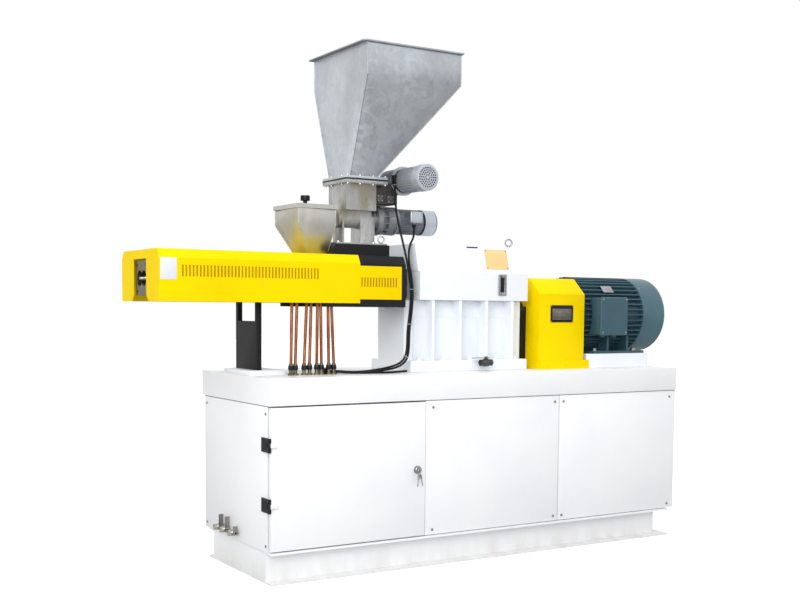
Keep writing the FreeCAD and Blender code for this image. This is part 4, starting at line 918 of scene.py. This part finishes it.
dress(on_stirrer("agitator_dome", [(0, 50), (2, 54.9), (116, 54.9), (119, 50)], worm_high.y + 1.2),
      "cast_aluminium", GREY_CASTING)
capped(on_stirrer("agitator_flange", [(0, 50), (0, 60), (1, 61), (8, 61), (9, 60), (9, 50)], worm_low.y + 6))
plastic(on_stirrer("agitator_band", [(0, 48), (0, 50.6), (11, 50.6), (11, 48)], worm_low.y - 4, 48))
capped(repeat("agitator_fins", block("fin", (-1.1, cowl_end + STIRRER_COWL + 4, 46),
                                     (1.1, worm_low.y - 16, 52.6), 0.5),
              around("Y", 28, (stirrer_x, 0, stirrer_level), 6)))
capped(on_stirrer("agitator_cowl", [(0, 53), (0, 54.9), (40, 54.9), (45, 53), (STIRRER_COWL + 1, 50),
                                    (STIRRER_COWL + 1, 46), (STIRRER_COWL + 0.2, 46)],
                  cowl_end + STIRRER_COWL))
capped(grille("agitator_grille", (stirrer_x, cowl_end - 0.3, stirrer_level), "-y", 46, SMALL_RINGS, 3.6))
bosses, boss_bolts = [], []
for x, z, radius in ((worm_low.x + 27, worm_low.z + 23, 15), (worm_low.x + 78, worm_low.z + 20, 17)):
    bosses.append(turned("boss", [(0, radius + 1), (5, radius), (5, radius - 4), (3.5, radius - 5)],
                         (x, worm_low.y, z), "-y", 28))
    boss_bolts += ring_of(4, radius - 2, (x, worm_low.y - 5, z), "-y", 45)
dress(join("worm_bosses", bosses), "cast_aluminium", WORN_CASTING)
zinc(repeat("worm_boss_bolts", hex_bolt(2.2, 2.4), boss_bolts))

# %% Glands where the cables leave their motors
gland_box = block("agitator_gland", (-368.5, -81.5, 1574.2), (-343.5, -57.5, 1614), 2.5)
reliefs = [turned("relief", [(0, 5.2), (3, 6.4), (10, 8.2), (13, 8.2)], (-356, -69, 1562), sides=24),
           turned("relief", [(0, 5.2), (3, 6.4), (8, 8.2), (10, 9.4), (18, 9.4)], (-264.5, -78, 1395),
                  sides=24)]
plastic(join("cable_glands", [gland_box, *reliefs]))
print("feeder done")

# %% [markdown]
# ## Gearbox
# The castings are bolted at their foot and at the joint below the lid, under the same enamel. Raised pads
# fill the bays between the lower case's ribs. A bare brass plate, a sight gauge and a lifting eye stand out.


# %% Gearbox bolts, pads, plate, gauge and eye
def push_front(piece, inset, depth):
    """Inset a block's front face, and push it in, or out where the depth is negative, in millimetres."""
    start_edit(piece)
    pick(piece, lambda middle, normal: normal.y < -0.99)
    bpy.ops.mesh.inset(thickness=inset * MM)
    bpy.ops.transform.translate(value=(0, depth * MM, 0))
    end_edit()
    return piece


middle_low, middle_high = corners("gearbox_middle_case")
top_low, top_high = corners("gearbox_top_case")
FOOT, FOOT_BOLTS, FOOT_BOLT_HALF = 47, (-272, -148, -10, 130, 234), 137
JOINT_BOLTS, JOINT_PITCH, JOINT_BOLT_HALF = 7, 82, 157.5
foot_top = lower_low.z + FOOT
dress(repeat("gearbox_foot_bolts", hex_bolt(12, 13),
             [(x, side * FOOT_BOLT_HALF, foot_top) for x in FOOT_BOLTS for side in (-1, 1)]), "white_enamel")
dress(repeat("gearbox_joint_bolts", hex_bolt(4.8, 6),
             [(middle_low.x + 30 + JOINT_PITCH * n, side * JOINT_BOLT_HALF, middle_high.z)
              for n in range(JOINT_BOLTS) for side in (-1, 1)]), "white_enamel")
BAYS = ((-287, -218), (-204, -79), (-65, 60), (74, 199), (213, lower_high.x - 8))
PAD_INSIDE, PAD_DEEP, PAD_TOP = 100, 16, 1022
pads = [block("pad", (left, y, foot_top - 1), (right, y + PAD_DEEP, PAD_TOP), 5.0)
        for left, right in BAYS for y in (-PAD_INSIDE - PAD_DEEP, PAD_INSIDE)]
dress(join("bay_pads", pads), "white_enamel")
TOP_LEAN = 30
slope_angle = math.atan2(TOP_LEAN, top_high.z - top_low.z)
slope = at((0, top_low.y, top_low.z)) @ Matrix.Rotation(-slope_angle, 4, "X")


def on_slope(piece):
    """Move a piece modelled against the XZ plane onto the lid's sloping front."""
    piece.data.transform(slope)
    return piece


dress(on_slope(block("brass_plate", (68, -2.2, 17), (188, 0.6, 107), 0.6)), "brass_body", BRASS_PLATE)
zinc(on_slope(repeat("plate_screws", button_screw(3.2), corner_spots((74, 182), -2.2, (23, 101)))))
plastic(on_slope(block("vent_strip", (-24, -2.6, 111), (34, 0.6, 116), 0.8)))
zinc(eyebolt("gearbox_eyebolt", (222, -96, top_high.z - 0.5), 15, 3.6))

gauge_low, gauge_high = Vector((118, middle_low.y - 7, 1117)), Vector((159, middle_low.y, 1209))
zinc(push_front(block("sight_gauge", gauge_low, gauge_high, 2.0), 8, 4))
plastic(block("gauge_glass", gauge_low + Vector((11, 2.4, 14)), gauge_high - Vector((11, 2, 14)), 1.0))
zinc(repeat("gauge_nuts", hex_bolt(4.5, 4), corner_spots([(gauge_low.x + gauge_high.x) / 2], gauge_low.y,
                                                         (gauge_low.z + 6.5, gauge_high.z - 6.5))))
print("gearbox done")

# %% [markdown]
# ## Coupling guard and main motor
# The guard carries a bare framed plate. The motor's fan cowl is a pressed bowl with a grille of holes in its
# end, and its terminal box has a thick lid on four screws.

# %% Guard's plate and bolts
guard_low, guard_high = corners("coupling_guard")
SKIRT_OUT, SKIRT_TALL, SKIRT_BOLTS = 18, 39, (40, 140, 240)
guard_front = guard_low.y + SKIRT_OUT
plastic(block("guard_plate", (400, guard_front - 2.4, 1001), (530, guard_front + 0.4, 1078), 1.0))
dress(block("guard_blank_plate", (409, guard_front - 3.4, 1012), (521, guard_front - 1, 1062), 0.5),
      "machined_steel", PLATE_METAL)
zinc(repeat("guard_plate_rivets", button_screw(2.8),
            corner_spots((404, 526), guard_front - 2.4, (1005, 1074))))
skirt_spots = [facing((guard_low.x + along, side * guard_high.y, guard_low.z + SKIRT_TALL / 2),
                      "-y" if side < 0 else "y") for along in SKIRT_BOLTS for side in (-1, 1)]
dress(repeat("guard_bolts", button_screw(6.5), skirt_spots), "yellow_powder_coat")

# %% Motor's cowl and grille
shell_low, shell_high = corners("motor_fan_cowl")
shell_level = (shell_low.z + shell_high.z) / 2
shell_radius = (shell_high.z - shell_low.z) / 2
ROUND, RECESS, STEPS = 30, 3, 8
shell_length = shell_high.x - shell_low.x
profile = [(0, shell_radius - 2), (0, shell_radius), (shell_length - ROUND, shell_radius)]
for step in range(1, STEPS + 1):
    turn = math.radians(90 * step / STEPS)
    profile.append((shell_length - ROUND + ROUND * math.sin(turn),
                    shell_radius - ROUND + ROUND * math.cos(turn)))
profile += [(shell_length, shell_radius - 44), (shell_length - RECESS, shell_radius - 46)]
shell = turned("motor_cowl_bowl", profile, (shell_low.x, 0, shell_level), "x", 72)
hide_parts("motor_fan_cowl")
# painted light: the motor's enamel made lighter for the cowl and its grille, as the cowl is lit
LIT_COWL_PAINT = paint("motor enamel with painted light", "3B5A66", "456875", 0.36, wave=9, relief=0.08)
dress(shell, "motor_enamel", LIT_COWL_PAINT)
BIG_RINGS = [(14 * n, 7 * n) for n in range(1, 9)]
dress(grille("motor_grille", (shell_high.x - RECESS, 0, shell_level), "x", shell_radius - 47, BIG_RINGS,
             4.2, 2.0), "motor_enamel", LIT_COWL_PAINT)
zinc(repeat("cowl_screws", button_screw(5), [matrix @ at((0, 0, shell_radius)) for matrix in
                                             around("X", 4, (shell_low.x + 12, 0, shell_level), 45)]))

# %% Motor's terminal box, plate and foot bolts
terminal_low, terminal_high = corners("motor_terminal_box")
terminal_lid = block("terminal_lid", (terminal_low.x - 3, terminal_low.y - 6, terminal_low.z - 3),
                     (terminal_high.x + 3, terminal_low.y + 12, terminal_high.z + 3), 8.0, 4)
dress(smooth(push_front(terminal_lid, 16, -3)), "motor_enamel")
zinc(repeat("terminal_screws", button_screw(5),
            corner_spots((terminal_low.x + 9, terminal_high.x - 9), terminal_low.y - 6,
                         (terminal_low.z + 9, terminal_high.z - 9))))
plug = turned("plug", [(0, 17), (3, 17), (4, 14), (12, 14), (13, 12)], sides=6)
dress(repeat("terminal_plugs", plug, [at((x, terminal_low.y + 42, terminal_low.z)) @ spin(180, "X")
                                      for x in (terminal_low.x + 45, terminal_high.x - 45)]), "motor_enamel")
rating = block("motor_plate", (-32, -20, shell_radius + 0.5), (32, 20, shell_radius + 2), 0.6)
rating.data.transform(at((775, 0, shell_level)) @ spin(48, "X"))
zinc(rating)
FEET_SHEET, FOOT_MIDDLE, BOLTS_ALONG, BOLTS_ACROSS = 12, 818, 241, 279
feet_top = corners("main_motor")[0].z + FEET_SHEET
zinc(repeat("motor_foot_bolts", hex_bolt(12, 13), [
    (FOOT_MIDDLE + along * BOLTS_ALONG / 2, side * BOLTS_ACROSS / 2, feet_top)
    for along in (-1, 1) for side in (-1, 1)]))
print("motor done")

# %% [markdown]
# ## Pipe nuts and cable ties
# Each copper pipe stands in a black ribbed nut on a zinc fitting. The two motor cables are held side by side
# by thin pale ties, each a band squeezed from a circle to an oval round both.

# %% Pipe nuts
PIPE_FEET = (-278, -259, -220, -196, -164, -143, -110, -87)
lane = corners("cooling_pipes")[0].y + 6
nut = turned("nut", [(0, 8), (1.5, 10.4), (5, 11.4), (14, 11.4), (18.5, 10.2), (20, 8)], sides=18)
dress(repeat("pipe_nuts", nut, [(cover_high.x + x, lane, deck_high.z + 19.5) for x in PIPE_FEET]),
      "zinc_fitting", BLACK_PLASTIC)

# %% Ties
TIE_RADIUS, TIE_WIDTH, TIE_SHEET = 5.0, 3.4, 1.4
PALE_TIE = paint("pale nylon tie", "A3A099", "94918A", 0.45, wave=10)


def tie(place, across, lean=0):
    """A band round two cables that lie side by side along X, their centres across apart, leaning about Y."""
    deselect()
    bpy.ops.mesh.primitive_cylinder_add(vertices=32, radius=TIE_RADIUS * MM, depth=TIE_WIDTH * MM,
                                        end_fill_type="NOTHING")
    band = settle(bpy.context.object, "tie")
    start_edit(band)
    for side in (-1, 1):
        pick(band, lambda middle, normal: side * middle.x > 0)
        bpy.ops.transform.translate(value=(side * across / 2 * MM, 0, 0))
    end_edit()
    thick = band.modifiers.new("Thickness", "SOLIDIFY")
    thick.thickness = TIE_SHEET * MM
    thick.offset = 1
    apply(band, thick)
    head = block("tie_head", (across / 2 - 3, -9.5, -2.6), (across / 2 + 3, -5.5, 2.6), 0.6)
    whole = join("tie", [band, head])
    whole.data.transform(at(place) @ spin(lean, "Y"))
    return whole


ties = join("cable_ties", [tie((-335.3, -177.0, 1137), 10), tie((-350.0, -182.8, 993), 10, 6),
                           tie((-370.0, -188.8, 858), 11, 25)])
dress(ties, "cable_sheath", PALE_TIE)

# %% [markdown]
# ## Studio
# The product stands on a floor that looks white but throws back less light, so the undersides keep some
# shade. The world lights everything almost evenly, and two large panels model the front and the top.

# %% Floor and lights
WHITE = (1.0, 1.0, 1.0, 1.0)
deselect()
bpy.ops.mesh.primitive_plane_add(size=60, location=(0, 0, 0))
floor = settle(bpy.context.object, "studio_floor")
floor_material, floor_tree, floor_shader, _ = blank("pale studio floor")
seen = add(floor_tree, "ShaderNodeLightPath").outputs["Is Camera Ray"]
fill(floor_tree, floor_shader, {
    "Base Color": blend(floor_tree, seen, "B4B4B4", "FFFFFF"), "Roughness": 0.85,
    "Emission Color": WHITE, "Emission Strength": between(floor_tree, seen, 0, 1, 0.0, 0.25)})
floor.data.materials.append(floor_material)

world = bpy.data.worlds.new("studio")
bpy.context.scene.world = world
world.use_nodes = True
fill(world.node_tree, world.node_tree.nodes["Background"], {"Color": WHITE, "Strength": 1.0})


def panel_light(name, place, target, size, power):
    lamp = bpy.data.lights.new(name, "AREA")
    lamp.size = size
    lamp.energy = power
    holder = bpy.data.objects.new(name, lamp)
    link(holder)
    holder.location = place
    holder.rotation_euler = (Vector(target) - Vector(place)).to_track_quat("-Z", "Y").to_euler()


middle = (cad_low + cad_high) / 2
panel_light("key_panel", (-3.9, -4.2, 2.8), middle, 3.0, 150)
panel_light("top_panel", (-0.4, 0.2, 5.0), middle, 3.0, 60)
bpy.context.scene.view_settings.view_transform = "Standard"
